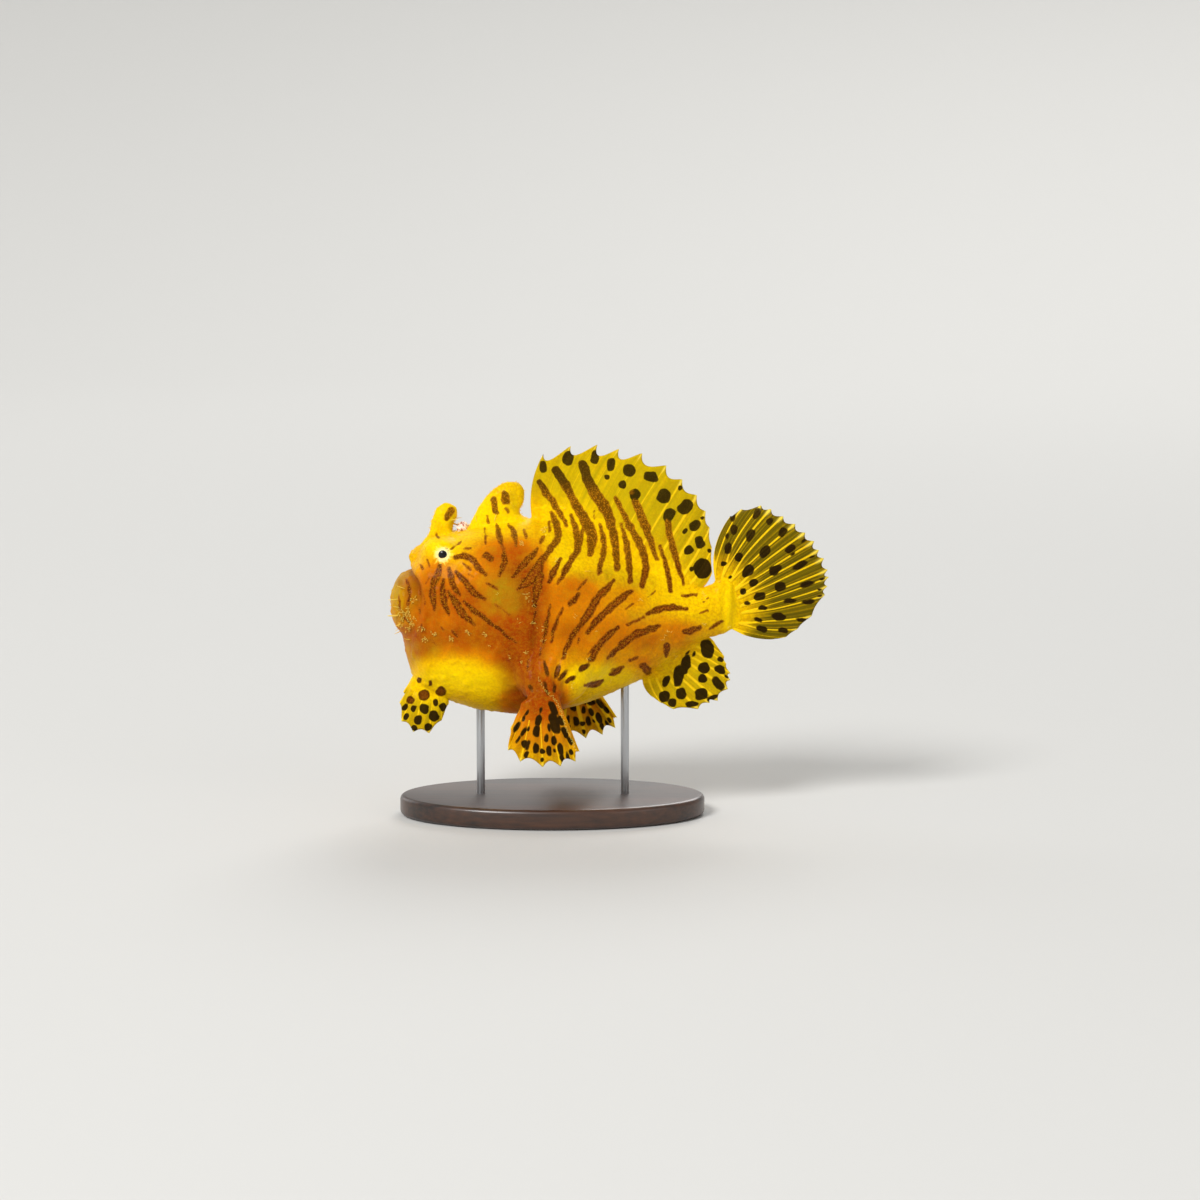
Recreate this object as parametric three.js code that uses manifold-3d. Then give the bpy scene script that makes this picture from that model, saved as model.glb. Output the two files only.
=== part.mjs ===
// A striated frogfish as a life-size display model: a hovering fish with its hand-like fins hanging, held
// over a flat oval base by two thin rods. Millimetres, +Z up. The snout points along -X and the fish's left
// side is -Y. The origin is the middle of the underside of the base.

import * as THREE from "three";
import { mergeVertices } from "three/addons/utils/BufferGeometryUtils.js";
import Module from "manifold-3d";

const wasm = await Module();
wasm.setup();

// Driving dimensions
const GAP = 0.3; // left between pieces that meet
const SNOUT_X = -44.4; // front of the head behind the jaw
const TAIL_X = 54.9; // end of the fleshy tail stem; the standard length is about 100
const SNOUT_ROUND = 7.5; // how far back the blunt face is rounded
const TAIL_ROUND = 3;
const HEAD_END_X = -14; // the cut between head and trunk
const TRUNK_END_X = 37; // the cut between trunk and tail stem
const EYE = { x: -32.7, y: 11, z: 80.4, radius: 3 };
const ORBIT = { x: -32.5, y: 7.6, z: 79.6, size: [6.4, 5.6, 5.6] };
const JAW = { x: -38, z: 64.7, size: [10, 14.5, 9.6], square: 3 };
const SNOUT_KNOB = { x: -38.6, z: 78.3, size: [3.5, 5.2, 3.4] };
const FIN_EDGE = 0.4; // half the thickness of a fin at its rim
const SPINE_THICK = { second: 3.4, third: 4.8 };
const BASE = { length: 92, width: 52, height: 6, chamfer: 0.8 };
const ROD = { radius: 1.25, front_x: -21.6, rear_x: 21.9, socket: 3 };

// Outlines of the body without fins, as [x, z] or [x, value]
const BACK = [
  [-44.4, 79.7], [-39.6, 81.2], [-32.7, 84.5], [-24.6, 86.3], [-15.6, 88.2], [-5.7, 89.2],
  [2.4, 87.2], [14.4, 81.8], [26.4, 75.4], [35.4, 70.9], [41.4, 68.9], [45.9, 69.1], [50.4, 71],
  [54.9, 72.6],
];
const BELLY = [
  [-44.4, 39.7], [-36.6, 37], [-30, 35.1], [-23.4, 33], [-16.5, 31.8], [-9.3, 31.2], [-2.1, 31.5],
  [9.9, 34.2], [18.9, 37.9], [26.4, 41.2], [33.9, 45.7], [41.4, 51.2], [45.9, 53.5], [50.4, 54.9],
  [54.9, 55.9],
];
const HALF_WIDTH = [
  [-44.4, 14.6], [-40, 16], [-32.7, 17.8], [-24, 19.6], [-14, 21], [-4, 21.4], [6, 20.2],
  [16, 17.2], [26, 12.8], [34, 9], [41, 6.2], [46, 4.6], [50.4, 3.4], [54.9, 2.4],
];
// The exponent of the cross-section: 2 is an ellipse, and it is boxier above that
const SQUARENESS = [[-44.4, 2.5], [-25, 2.5], [-5, 2.2], [20, 2.05], [54.9, 2]];
// How much of the width is lost towards the ridge of the back
const BACK_RIDGE = [[-44.4, 0], [-24, 0.02], [-5, 0.3], [20, 0.42], [54.9, 0.3]];

const clamp = (value, low, high) => Math.min(high, Math.max(low, value));
const mix = (a, b, t) => a + (b - a) * t;

// A smooth curve through [x, value] points, as a function of x.
function profile(points) {
  const slopes = points.map((_, i) => {
    const before = points[Math.max(i - 1, 0)];
    const after = points[Math.min(i + 1, points.length - 1)];
    return (after[1] - before[1]) / (after[0] - before[0]);
  });
  return (x) => {
    let i = 0;
    while (i < points.length - 2 && x > points[i + 1][0]) i += 1;
    const span = points[i + 1][0] - points[i][0];
    const t = clamp((x - points[i][0]) / span, 0, 1);
    const [a, b] = [points[i][1], points[i + 1][1]];
    const curve = t * t * (3 - 2 * t);
    return (
      mix(a, b, curve) + span * t * (1 - t) * (slopes[i] * (1 - t) - slopes[i + 1] * t)
    );
  };
}

// A closed three.js geometry as a solid, facing out whichever way its mapping turned it.
function solid(geometry) {
  const plain = geometry.clone();
  plain.deleteAttribute("normal");
  plain.deleteAttribute("uv");
  const merged = mergeVertices(plain, 1e-4);
  const triVerts = new Uint32Array(merged.index.array);
  const vertProperties = merged.attributes.position.array;
  const made = new wasm.Manifold(new wasm.Mesh({ numProp: 3, vertProperties, triVerts }));
  if (made.volume() > 0) return made;
  for (let i = 0; i < triVerts.length; i += 3)
    [triVerts[i + 1], triVerts[i + 2]] = [triVerts[i + 2], triVerts[i + 1]];
  return new wasm.Manifold(new wasm.Mesh({ numProp: 3, vertProperties, triVerts }));
}

// A geometry with each of its points put where place says.
function shaped(geometry, place) {
  const at = geometry.getAttribute("position");
  const point = new THREE.Vector3();
  for (let i = 0; i < at.count; i += 1) {
    place(point.fromBufferAttribute(at, i));
    at.setXYZ(i, point.x, point.y, point.z);
  }
  return solid(geometry);
}

function mesh(name, made, material) {
  const { vertProperties, triVerts } = made.getMesh();
  const geometry = new THREE.BufferGeometry();
  geometry.setAttribute("position", new THREE.BufferAttribute(vertProperties, 3));
  geometry.setIndex(new THREE.BufferAttribute(triVerts, 1));
  geometry.computeVertexNormals();
  const piece = new THREE.Mesh(geometry, material);
  piece.name = name;
  return piece;
}

const power = (value, exponent) => Math.sign(value) * Math.abs(value) ** exponent;

// An ellipsoid at a place, squarer as its exponent goes past 2.
function ellipsoid(x, y, z, [a, b, c], square = 2, across = 12, down = 8) {
  return shaped(new THREE.SphereGeometry(1, across, down), (p) => {
    const k = 2 / square;
    p.set(x + a * power(p.x, k), y + b * p.z, z + c * power(p.y, k));
  });
}

const backAt = profile(BACK);
const bellyAt = profile(BELLY);
const widthAt = profile(HALF_WIDTH);
const squareAt = profile(SQUARENESS);
const ridgeAt = profile(BACK_RIDGE);

// How far the body has filled out at x: 0 at its two ends and 1 between them.
function fullness(x, front, rear) {
  const s = clamp((x - front) / SNOUT_ROUND, 0, 1);
  const e = clamp((rear - x) / TAIL_ROUND, 0, 1);
  return (1 - (1 - s) ** 2) ** 0.45 * (1 - (1 - e) ** 2) ** 0.5;
}

// The fleshy body as one loft from snout to tail, made larger all round by grow.
function bodyLoft(grow = 0, around = 24, along = 34) {
  const [front, rear] = [SNOUT_X - grow, TAIL_X + grow];
  return shaped(new THREE.SphereGeometry(1, around, along), (p) => {
    const x = mix(front, rear, (1 - p.y) / 2);
    const ring = Math.atan2(p.z, p.x);
    const k = 2 / squareAt(x);
    const up = power(Math.sin(ring), k);
    const out = power(Math.cos(ring), k);
    const full = fullness(x, front, rear);
    const half = ((backAt(x) - bellyAt(x)) / 2 + grow) * full;
    const narrow = 1 - ridgeAt(x) * Math.max(up, 0) ** 1.6;
    const wide = (widthAt(x) * narrow + grow) * full;
    p.set(x, out * wide, (backAt(x) + bellyAt(x)) / 2 + up * half);
  });
}

// A fin as a webbed fan: rays run from root(u) to tip(u), and the rim dips between ray tips.
// bow(u) bends a ray, and ripple(u) moves its tip out of the fan's plane.
function fan({ root, tip, webs, perWeb = 2, rows = 4, dip, thick, bow, ripple }) {
  const scallop = (u) => {
    const f = u * webs - Math.floor(u * webs);
    return 4 * f * (1 - f);
  };
  const middle = (u, v) => {
    const reach = v * (1 - dip * scallop(clamp(u, 0, 1)));
    const point = root(u).lerp(tip(u), reach);
    if (bow) point.addScaledVector(bow(u), 4 * v * (1 - v));
    if (ripple) point.y += ripple(u) * v * v;
    return point;
  };
  const step = 1e-3;
  return shaped(new THREE.BoxGeometry(1, 1, 1, webs * perWeb, rows, 1), (p) => {
    const [u, v, side] = [p.x + 0.5, p.y + 0.5, Math.sign(p.z)];
    const at = middle(u, v);
    const acrossU = clamp(u, step, 1 - step);
    const upTo = Math.min(v + step, 1);
    const across = middle(acrossU + step, v).sub(middle(acrossU - step, v));
    const along = middle(u, upTo).sub(middle(u, upTo - step));
    const normal = across.cross(along).normalize();
    p.copy(at.addScaledVector(normal, side * thick(u, v)));
  });
}

// A smooth space curve through points, walked at an even pace as u goes from 0 to 1.
function evenCurve(points) {
  const curve = new THREE.CatmullRomCurve3(points.map((p) => new THREE.Vector3(...p)));
  return (u) => curve.getPointAt(clamp(u, 0, 1));
}

const inPlane = (points, y = 0) => points.map(([x, z]) => [x, y, z]);
const taper = (rootHalf) => (u, v) => mix(rootHalf, FIN_EDGE, Math.min(1, v * 1.6));

// The soft dorsal fin: twelve rays along the back, with a pointed tip on each.
const DORSAL_ROOT = [[-5.4, 86.3], [2.4, 84.2], [14.4, 78.8], [26.4, 72.4], [35.4, 67.9], [40.8, 66]];
const DORSAL_RIM = [
  [-2.5, 109.1], [13.6, 111.8], [27, 109.4], [39, 101.5], [46, 91.6], [48, 80.6], [47.8, 73],
];
const dorsalFin = () =>
  fan({
    root: evenCurve(inPlane(DORSAL_ROOT)),
    tip: evenCurve(inPlane(DORSAL_RIM)),
    webs: 11,
    rows: 5,
    dip: 0.09,
    thick: taper(1.3),
    bow: (u) => new THREE.Vector3(mix(-2, 0.6, u), 0, mix(0.4, -1, u)),
    ripple: (u) => 1.1 * Math.sin(u * 9 + 0.6),
  });

// The tail fin: nine forked rays, so eighteen tips, fanned upwards from the end of the tail stem.
const CAUDAL_ROOT = [[48.6, 68.8], [50.1, 62.7], [51.6, 57.3]];
const CAUDAL_RIM = [
  [56.6, 92.5], [62.6, 93.5], [70, 89.8], [77, 84], [81.6, 77], [82.7, 69], [79.5, 62], [75, 56.5],
  [70.2, 53.5],
];
const caudalFin = () =>
  fan({
    root: evenCurve(inPlane(CAUDAL_ROOT)),
    tip: evenCurve(inPlane(CAUDAL_RIM)),
    webs: 17,
    rows: 3,
    dip: 0.045,
    thick: taper(1.9),
    bow: (u) => new THREE.Vector3(mix(-2.6, 0, Math.min(1, u * 1.4)), 0, mix(0.4, -0.9, u)),
    ripple: (u) => 1.3 * Math.sin(u * 7 + 2),
  });

// The anal fin: a short rounded fan under the tail stem.
const ANAL_ROOT = [[26.9, 42.4], [35.4, 48.6], [42.6, 54.8]];
const ANAL_RIM = [
  [32.2, 33.8], [37, 31.8], [44, 32], [49.8, 34.4], [53, 38.5], [53.5, 43], [52, 48], [49.3, 52.6],
];
const analFin = () =>
  fan({
    root: evenCurve(inPlane(ANAL_ROOT)),
    tip: evenCurve(inPlane(ANAL_RIM)),
    webs: 10,
    rows: 3,
    dip: 0.1,
    thick: taper(1.6),
    bow: (u) => new THREE.Vector3(mix(-0.4, 0.3, u), 0, mix(-0.3, 0.4, u)),
    ripple: (u) => 0.9 * Math.sin(u * 6 + 4),
  });

// A swelling tube along a curve, for the arm of a pectoral fin: wide(t) and thick(t) are its half sizes.
function limb(points, wide, thick) {
  const curve = new THREE.CatmullRomCurve3(points.map((p) => new THREE.Vector3(...p)));
  return shaped(new THREE.SphereGeometry(1, 12, 10), (p) => {
    const t = (1 - p.y) / 2;
    const ring = Math.atan2(p.z, p.x);
    const full = Math.max(1 - p.y * p.y, 0) ** 0.3;
    const at = curve.getPoint(t);
    const forward = curve.getTangent(t);
    const level = new THREE.Vector3(1, 0, 0).addScaledVector(forward, -forward.x).normalize();
    const depth = forward.clone().cross(level);
    at.addScaledVector(level, Math.cos(ring) * full * wide(t));
    at.addScaledVector(depth, Math.sin(ring) * full * thick(t));
    p.copy(at);
  });
}

// One pectoral fin and its arm. side is -1 for the fish's left, joints are the shoulder, elbow and wrist,
// and swing turns the hand back about the wrist, in degrees.
const ARM_WIDE = profile([[0, 8.4], [0.4, 6.4], [0.75, 5.2], [1, 5.4]]);
const ARM_THICK = profile([[0, 5.4], [0.4, 3.9], [0.75, 2.5], [1, 1.7]]);
const HAND_ROOT = [[-4.6, 1.6], [0, 2.6], [4.6, 2.4]];
const HAND_RIM = [
  [-8.7, -6.8], [-9.6, -13], [-6.3, -16.7], [0.4, -18.4], [6, -18.4], [9.9, -17], [11, -13.4],
];
const ARMS = {
  left: { side: -1, joints: [[1.5, -13.5, 54], [-1.4, -21.4, 46.5], [-3.3, -25.5, 37.8]], swing: 0 },
  right: { side: 1, joints: [[5.5, 13.5, 53], [5, 21.4, 45], [5.4, 25.5, 35.5]], swing: 12 },
};

const arm = ({ joints }, grow = 0) =>
  limb(joints, (t) => ARM_WIDE(t) + grow, (t) => ARM_THICK(t) + grow);

function hand({ side, joints, swing }) {
  const wrist = joints[2];
  const turn = THREE.MathUtils.degToRad(swing);
  const place = (splay) => ([x, z]) => [
    wrist[0] + x * Math.cos(turn) - z * Math.sin(turn),
    wrist[1] + side * splay,
    wrist[2] + z * Math.cos(turn) + x * Math.sin(turn),
  ];
  return fan({
    root: evenCurve(HAND_ROOT.map(place(0))),
    tip: evenCurve(HAND_RIM.map(place(2.6))),
    webs: 9,
    dip: 0.16,
    thick: taper(1.3),
    bow: (u) => new THREE.Vector3(0, side * 1.4 * Math.sin(Math.PI * u), 0),
    ripple: (u) => side * 2.2 * Math.sin(Math.PI * u),
  });
}

// One pelvic fin: a thick mitten under the throat, with six blunt tips.
const PELVIC_ROOT = [[-40.6, 42.6], [-35.6, 41.6], [-31.4, 39]];
const PELVIC_RIM = [[-45.6, 33.8], [-45.1, 30], [-42.1, 26.5], [-37.1, 26.2], [-34.1, 29.7], [-31.2, 33.2]];
const PELVIC_Y = { root: 6.4, rim: 10.6 };

const pelvicFin = (side) =>
  fan({
    root: evenCurve(inPlane(PELVIC_ROOT, side * PELVIC_Y.root)),
    tip: evenCurve(inPlane(PELVIC_RIM, side * PELVIC_Y.rim)),
    webs: 5,
    perWeb: 3,
    dip: 0.13,
    thick: (u, v) => mix(2.9, FIN_EDGE, Math.min(1, v * 1.15) ** 0.8),
    bow: (u) => new THREE.Vector3(mix(-0.8, 0.8, u), side * 1.6, 0),
    ripple: (u) => side * 0.8 * Math.sin(Math.PI * u),
  });

// A fleshy dorsal spine: a cushion that fills its side outline, swelling from the rim to the middle.
function spineLobe(outline, [centreX, centreZ], thickness) {
  const rim = new THREE.CatmullRomCurve3(outline.map(([x, z]) => new THREE.Vector3(x, 0, z)), true);
  return shaped(new THREE.SphereGeometry(1, 20, 6), (p) => {
    const turn = (Math.atan2(p.z, p.x) / (2 * Math.PI) + 1) % 1;
    const edge = rim.getPoint(turn);
    const reach = Math.hypot(p.x, p.z) ** 0.6;
    p.set(mix(centreX, edge.x, reach), (p.y * thickness) / 2, mix(centreZ, edge.z, reach));
  });
}

const SECOND_SPINE = [
  [-38.6, 80.6], [-36.6, 85.4], [-35.4, 90], [-33.7, 93.3], [-31.2, 94.4], [-28.8, 93.2], [-28.4, 90.8],
  [-29.5, 88.4], [-29.8, 85.6], [-29.4, 80],
];
const SECOND_CENTRE = [-33, 86.5];
const THIRD_SPINE = [
  [-27.4, 82.6], [-25, 87], [-21.3, 93.8], [-17.3, 98.6], [-12.9, 100.7], [-9.6, 100.2], [-8.3, 97.6],
  [-8.6, 94.6], [-9.9, 92.3], [-9, 90.5], [-5.6, 88.6], [-6, 84],
];
const THIRD_CENTRE = [-14.5, 91];

// The fishing rod, folded back along the right side of the second spine, and the lure at its end.
const ROD_LINE = [[-40, 1, 80.4], [-37.6, 3, 84], [-34, 3.5, 87.6], [-30, 3, 88.8], [-27.4, 1.6, 88]];
const ROD_HALF = 0.35;
const LURE = { x: -26.7, y: 0.3, z: 87, size: [1.8, 1.6, 1.8] };

const fishingRod = () => {
  const section = new THREE.Shape().absarc(0, 0, ROD_HALF, 0, 2 * Math.PI);
  const line = new THREE.CatmullRomCurve3(ROD_LINE.map((p) => new THREE.Vector3(...p)));
  return solid(new THREE.ExtrudeGeometry(section, { steps: 10, curveSegments: 4, extrudePath: line }));
};

// A block that keeps the part of the body between two places along it.
function lengthOfBody(from, to) {
  const block = new THREE.BoxGeometry(to - from, 120, 200);
  block.translate((from + to) / 2, 0, 60);
  return solid(block);
}

// The oval base, its top edge chamfered, with two blind holes for the rods.
function standBase() {
  const { length, width, height, chamfer } = BASE;
  const profileLine = [
    [0, 0], [1, 0], [1, height - chamfer], [1 - (2 * chamfer) / width, height], [0, height],
  ].map((p) => new THREE.Vector2(...p));
  const disc = new THREE.LatheGeometry(profileLine, 44);
  disc.rotateX(Math.PI / 2);
  disc.scale(length / 2, width / 2, 1);
  const holes = [ROD.front_x, ROD.rear_x].map((x) => {
    const hole = new THREE.CylinderGeometry(ROD.radius + GAP, ROD.radius + GAP, height, 20);
    hole.rotateX(Math.PI / 2);
    hole.translate(x, 0, height * 1.5 - ROD.socket);
    return solid(hole);
  });
  return solid(disc).subtract(holes[0]).subtract(holes[1]);
}

// A rod from its hole in the base up to the belly.
function standRod(x, grownBody) {
  const [low, high] = [BASE.height - ROD.socket + GAP, backAt(x) - 20];
  const rod = new THREE.CylinderGeometry(ROD.radius, ROD.radius, high - low, 20);
  rod.rotateX(Math.PI / 2);
  rod.translate(x, 0, (low + high) / 2);
  return solid(rod).subtract(grownBody);
}

const paint = (color, roughness, metalness = 0) =>
  new THREE.MeshStandardMaterial({ color, roughness, metalness });
const skin = paint(0xe8a80c, 0.6);
const fin = paint(0xc9b416, 0.55);
const limbSkin = paint(0xd9920c, 0.6);
const lureSkin = paint(0xf3c9b0, 0.5);
const eyeBlack = paint(0x14100a, 0.1);
const darkWood = paint(0x3a2416, 0.4);
const steel = paint(0xb8babd, 0.3, 1);

const fish = new THREE.Group();
const add = (name, made, material) => fish.add(mesh(name, made, material));

const body = bodyLoft();
const grown = bodyLoft(GAP);
const jaw = ellipsoid(JAW.x, 0, JAW.z, JAW.size, JAW.square, 18, 10);
const jawRoom = ellipsoid(JAW.x, 0, JAW.z, JAW.size.map((s) => s + GAP), JAW.square, 18, 10);
const sides = [["left", -1], ["right", 1]];

// Head: the front of the body with its orbits and snout, less room for the jaw and the eyes.
let head = body.intersect(lengthOfBody(SNOUT_X - 9, HEAD_END_X - GAP / 2));
let headRoom = grown;
for (const [, side] of sides) {
  head = head.add(ellipsoid(ORBIT.x, side * ORBIT.y, ORBIT.z, ORBIT.size));
  headRoom = headRoom.add(ellipsoid(ORBIT.x, side * ORBIT.y, ORBIT.z, ORBIT.size.map((s) => s + GAP)));
}
head = head.add(ellipsoid(SNOUT_KNOB.x, 0, SNOUT_KNOB.z, SNOUT_KNOB.size));
headRoom = headRoom.add(ellipsoid(SNOUT_KNOB.x, 0, SNOUT_KNOB.z, SNOUT_KNOB.size.map((s) => s + GAP)));
head = head.subtract(jawRoom);
for (const [name, side] of sides) {
  const { x, y, z, radius } = EYE;
  head = head.subtract(ellipsoid(x, side * y, z, Array(3).fill(radius + GAP)));
  add("eye_" + name, ellipsoid(x, side * y, z, Array(3).fill(radius)), eyeBlack);
}
add("head", head, skin);
add("lower_jaw", jaw, skin);
add("trunk", body.intersect(lengthOfBody(HEAD_END_X + GAP / 2, TRUNK_END_X - GAP / 2)), skin);
add("tail_stem", body.intersect(lengthOfBody(TRUNK_END_X + GAP / 2, TAIL_X + 9)), skin);

// Fins and spines on the middle line, each less room for the body.
const second = spineLobe(SECOND_SPINE, SECOND_CENTRE, SPINE_THICK.second).subtract(headRoom);
const third = spineLobe(THIRD_SPINE, THIRD_CENTRE, SPINE_THICK.third);
const thirdRoom = spineLobe(THIRD_SPINE, THIRD_CENTRE, SPINE_THICK.third + 2 * GAP);
add("second_dorsal_spine", second, skin);
add("third_dorsal_spine", third.subtract(headRoom), skin);
add("dorsal_fin", dorsalFin().subtract(grown).subtract(thirdRoom), fin);
add("caudal_fin", caudalFin().subtract(grown), fin);
add("anal_fin", analFin().subtract(grown), fin);

// The folded fishing rod and its lure.
const { x: lureX, y: lureY, z: lureZ, size: lureSize } = LURE;
const lureRoom = ellipsoid(lureX, lureY, lureZ, lureSize.map((s) => s + GAP));
add("illicium", fishingRod().subtract(headRoom).subtract(lureRoom), skin);
add("esca", ellipsoid(lureX, lureY, lureZ, lureSize).subtract(headRoom).subtract(thirdRoom), lureSkin);

// Paired fins.
for (const [name, side] of sides) {
  const pose = ARMS[name];
  add("pectoral_arm_" + name, arm(pose).subtract(grown), limbSkin);
  add("pectoral_fin_" + name, hand(pose).subtract(arm(pose, GAP)), fin);
  add("pelvic_fin_" + name, pelvicFin(side).subtract(grown), fin);
}

// Display stand.
add("stand_base", standBase(), darkWood);
add("stand_rod_front", standRod(ROD.front_x, grown), steel);
add("stand_rod_rear", standRod(ROD.rear_x, grown), steel);

export default fish;
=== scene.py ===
import math

import bpy
import numpy as np
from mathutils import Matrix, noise


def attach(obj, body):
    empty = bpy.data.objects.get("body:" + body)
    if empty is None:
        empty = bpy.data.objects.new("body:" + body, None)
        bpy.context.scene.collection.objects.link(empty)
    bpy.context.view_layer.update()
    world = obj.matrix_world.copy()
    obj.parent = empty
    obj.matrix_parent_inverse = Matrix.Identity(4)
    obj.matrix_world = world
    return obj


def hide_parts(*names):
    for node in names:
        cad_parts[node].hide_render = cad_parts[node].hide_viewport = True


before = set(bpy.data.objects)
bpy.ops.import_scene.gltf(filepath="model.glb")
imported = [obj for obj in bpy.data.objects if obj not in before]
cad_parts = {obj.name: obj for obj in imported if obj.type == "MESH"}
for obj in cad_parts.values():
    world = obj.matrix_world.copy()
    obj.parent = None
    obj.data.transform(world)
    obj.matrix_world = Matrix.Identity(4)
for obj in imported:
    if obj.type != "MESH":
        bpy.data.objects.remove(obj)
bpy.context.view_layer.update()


# Display base: an oval board of dark-stained walnut, turned and sanded, its top edge rounded over, and
# finished in satin lacquer. It rests flat on the floor and takes both rods.

MM = 0.001


def deselect():
    bpy.ops.object.select_all(action="DESELECT")


def named(name):
    piece = bpy.context.object
    piece.name = piece.data.name = name
    return piece


def apply_modifiers(piece):
    deselect()
    piece.select_set(True)
    bpy.context.view_layer.objects.active = piece
    for modifier in list(piece.modifiers):
        bpy.ops.object.modifier_apply(modifier=modifier.name)


def points_of(piece):
    """A piece's points in mm, one row each."""
    flat = np.empty(len(piece.data.vertices) * 3)
    piece.data.vertices.foreach_get("co", flat)
    return flat.reshape(-1, 3) / MM


def set_points(piece, points):
    piece.data.vertices.foreach_set("co", (np.asarray(points) * MM).ravel())
    piece.data.update()


def recalculate_outside(piece):
    deselect()
    piece.select_set(True)
    bpy.context.view_layer.objects.active = piece
    bpy.ops.object.mode_set(mode="EDIT")
    bpy.ops.mesh.select_all(action="SELECT")
    bpy.ops.mesh.remove_doubles(threshold=1e-6)
    bpy.ops.mesh.normals_make_consistent(inside=False)
    bpy.ops.object.mode_set(mode="OBJECT")


def colour(hex_value, alpha=1.0):
    """A linear colour from an sRGB hex value."""
    channels = [int(hex_value[i : i + 2], 16) / 255 for i in (1, 3, 5)]
    linear = [c / 12.92 if c <= 0.04045 else ((c + 0.055) / 1.055) ** 2.4 for c in channels]
    return (*linear, alpha)


def add_node(tree, kind, inputs=None, **settings):
    """Adds a node with its settings and links. A node given as an input stands for its first output."""
    made = tree.nodes.new(kind)
    for key, value in settings.items():
        setattr(made, key, value)
    for socket, value in (inputs or {}).items():
        if isinstance(value, bpy.types.Node):
            value = next(output for output in value.outputs if output.enabled)
        if isinstance(value, bpy.types.NodeSocket):
            tree.links.new(value, made.inputs[socket])
        else:
            made.inputs[socket].default_value = value
    return made


def blank_material(name):
    """A material with nodes and nothing in its tree."""
    material = bpy.data.materials.new(name)
    material.use_nodes = True
    material.node_tree.nodes.clear()
    return material, material.node_tree


def stained_walnut():
    # Stain sinks into the open pores, so the grain reads as fine dark lines under a soft satin shine
    material, tree = blank_material("satin_lacquered_walnut")
    place = add_node(tree, "ShaderNodeTexCoord").outputs["Object"]
    along = add_node(tree, "ShaderNodeMapping", {"Vector": place, "Scale": (6, 90, 90)}).outputs[0]
    # growth rings about 9 mm apart, pores about 1 mm
    rings = add_node(
        tree, "ShaderNodeTexNoise", {"Vector": along, "Scale": 1.4, "Detail": 5, "Distortion": 0.6}
    )
    pores = add_node(tree, "ShaderNodeTexNoise", {"Vector": along, "Scale": 11, "Detail": 3})
    grain = add_node(
        tree, "ShaderNodeMix", {"Factor": 0.4, "A": rings.outputs["Fac"], "B": pores.outputs["Fac"]}
    ).outputs[0]
    stain = add_node(tree, "ShaderNodeValToRGB", {"Fac": grain})
    stain.color_ramp.elements[0].position = 0.36
    stain.color_ramp.elements[0].color = colour("#1C0F08")
    stain.color_ramp.elements[1].position = 0.66
    stain.color_ramp.elements[1].color = colour("#4A2A17")
    relief = add_node(
        tree, "ShaderNodeBump", {"Height": pores.outputs["Fac"], "Strength": 0.12, "Distance": 0.0003}
    )
    shader = add_node(
        tree,
        "ShaderNodeBsdfPrincipled",
        {
            "Base Color": stain.outputs["Color"],
            "Normal": relief.outputs["Normal"],
            "Roughness": 0.42,
            "Coat Weight": 0.5,
            "Coat Roughness": 0.22,
        },
    )
    add_node(tree, "ShaderNodeOutputMaterial", {"Surface": shader.outputs[0]})
    return material


BASE_LENGTH, BASE_WIDTH, BASE_HEIGHT, BASE_ROUND = 92, 52, 6, 1.4

deselect()
bpy.ops.mesh.primitive_cylinder_add(vertices=160, radius=0.5, depth=1, location=(0, 0, 0.5))
base = named("display_base")
bpy.ops.object.transform_apply()
set_points(base, points_of(base) * MM * (BASE_LENGTH, BASE_WIDTH, BASE_HEIGHT))
edge = base.modifiers.new("edge", "BEVEL")
edge.width = BASE_ROUND * MM
edge.segments = 5
edge.limit_method = "ANGLE"
apply_modifiers(base)
bpy.ops.object.shade_smooth_by_angle(angle=math.radians(35))
base.data.materials.append(stained_walnut())
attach(base, "root")
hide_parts("stand_base")


# Two rods of brushed stainless steel, 2.5 mm thick, glued into the base. Their upper ends run up into the
# belly and are glued there.

ROD_RADIUS = 1.25
ROD_PLACES = {"rod_front": (-21.6, 36, "stand_rod_front"), "rod_rear": (21.9, 43, "stand_rod_rear")}
ROD_FOOT = 3.4


def brushed_steel():
    # Brushing round the rod leaves fine rings that stretch its highlight
    material, tree = blank_material("brushed_stainless_steel")
    place = add_node(tree, "ShaderNodeTexCoord").outputs["Object"]
    rings = add_node(tree, "ShaderNodeMapping", {"Vector": place, "Scale": (40, 40, 5000)}).outputs[0]
    scratches = add_node(tree, "ShaderNodeTexNoise", {"Vector": rings, "Scale": 1.0, "Detail": 3})
    rough = add_node(
        tree, "ShaderNodeMapRange", {"Value": scratches.outputs["Fac"], "To Min": 0.24, "To Max": 0.42}
    )
    shader = add_node(
        tree,
        "ShaderNodeBsdfPrincipled",
        {"Base Color": colour("#B9BBBE"), "Metallic": 1.0, "Roughness": rough.outputs[0]},
    )
    add_node(tree, "ShaderNodeOutputMaterial", {"Surface": shader.outputs[0]})
    return material


steel = brushed_steel()
for name, (x, top, replaced) in ROD_PLACES.items():
    deselect()
    bpy.ops.mesh.primitive_cylinder_add(
        vertices=48,
        radius=ROD_RADIUS * MM,
        depth=(top - ROD_FOOT) * MM,
        location=(x * MM, 0, (top + ROD_FOOT) / 2 * MM),
    )
    rod = named(name)
    bpy.ops.object.transform_apply()
    end = rod.modifiers.new("end", "BEVEL")
    end.width = 0.25 * MM
    end.segments = 3
    end.limit_method = "ANGLE"
    apply_modifiers(rod)
    bpy.ops.object.shade_smooth_by_angle(angle=math.radians(35))
    rod.data.materials.append(steel)
    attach(rod, "root")
    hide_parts(replaced)


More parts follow.
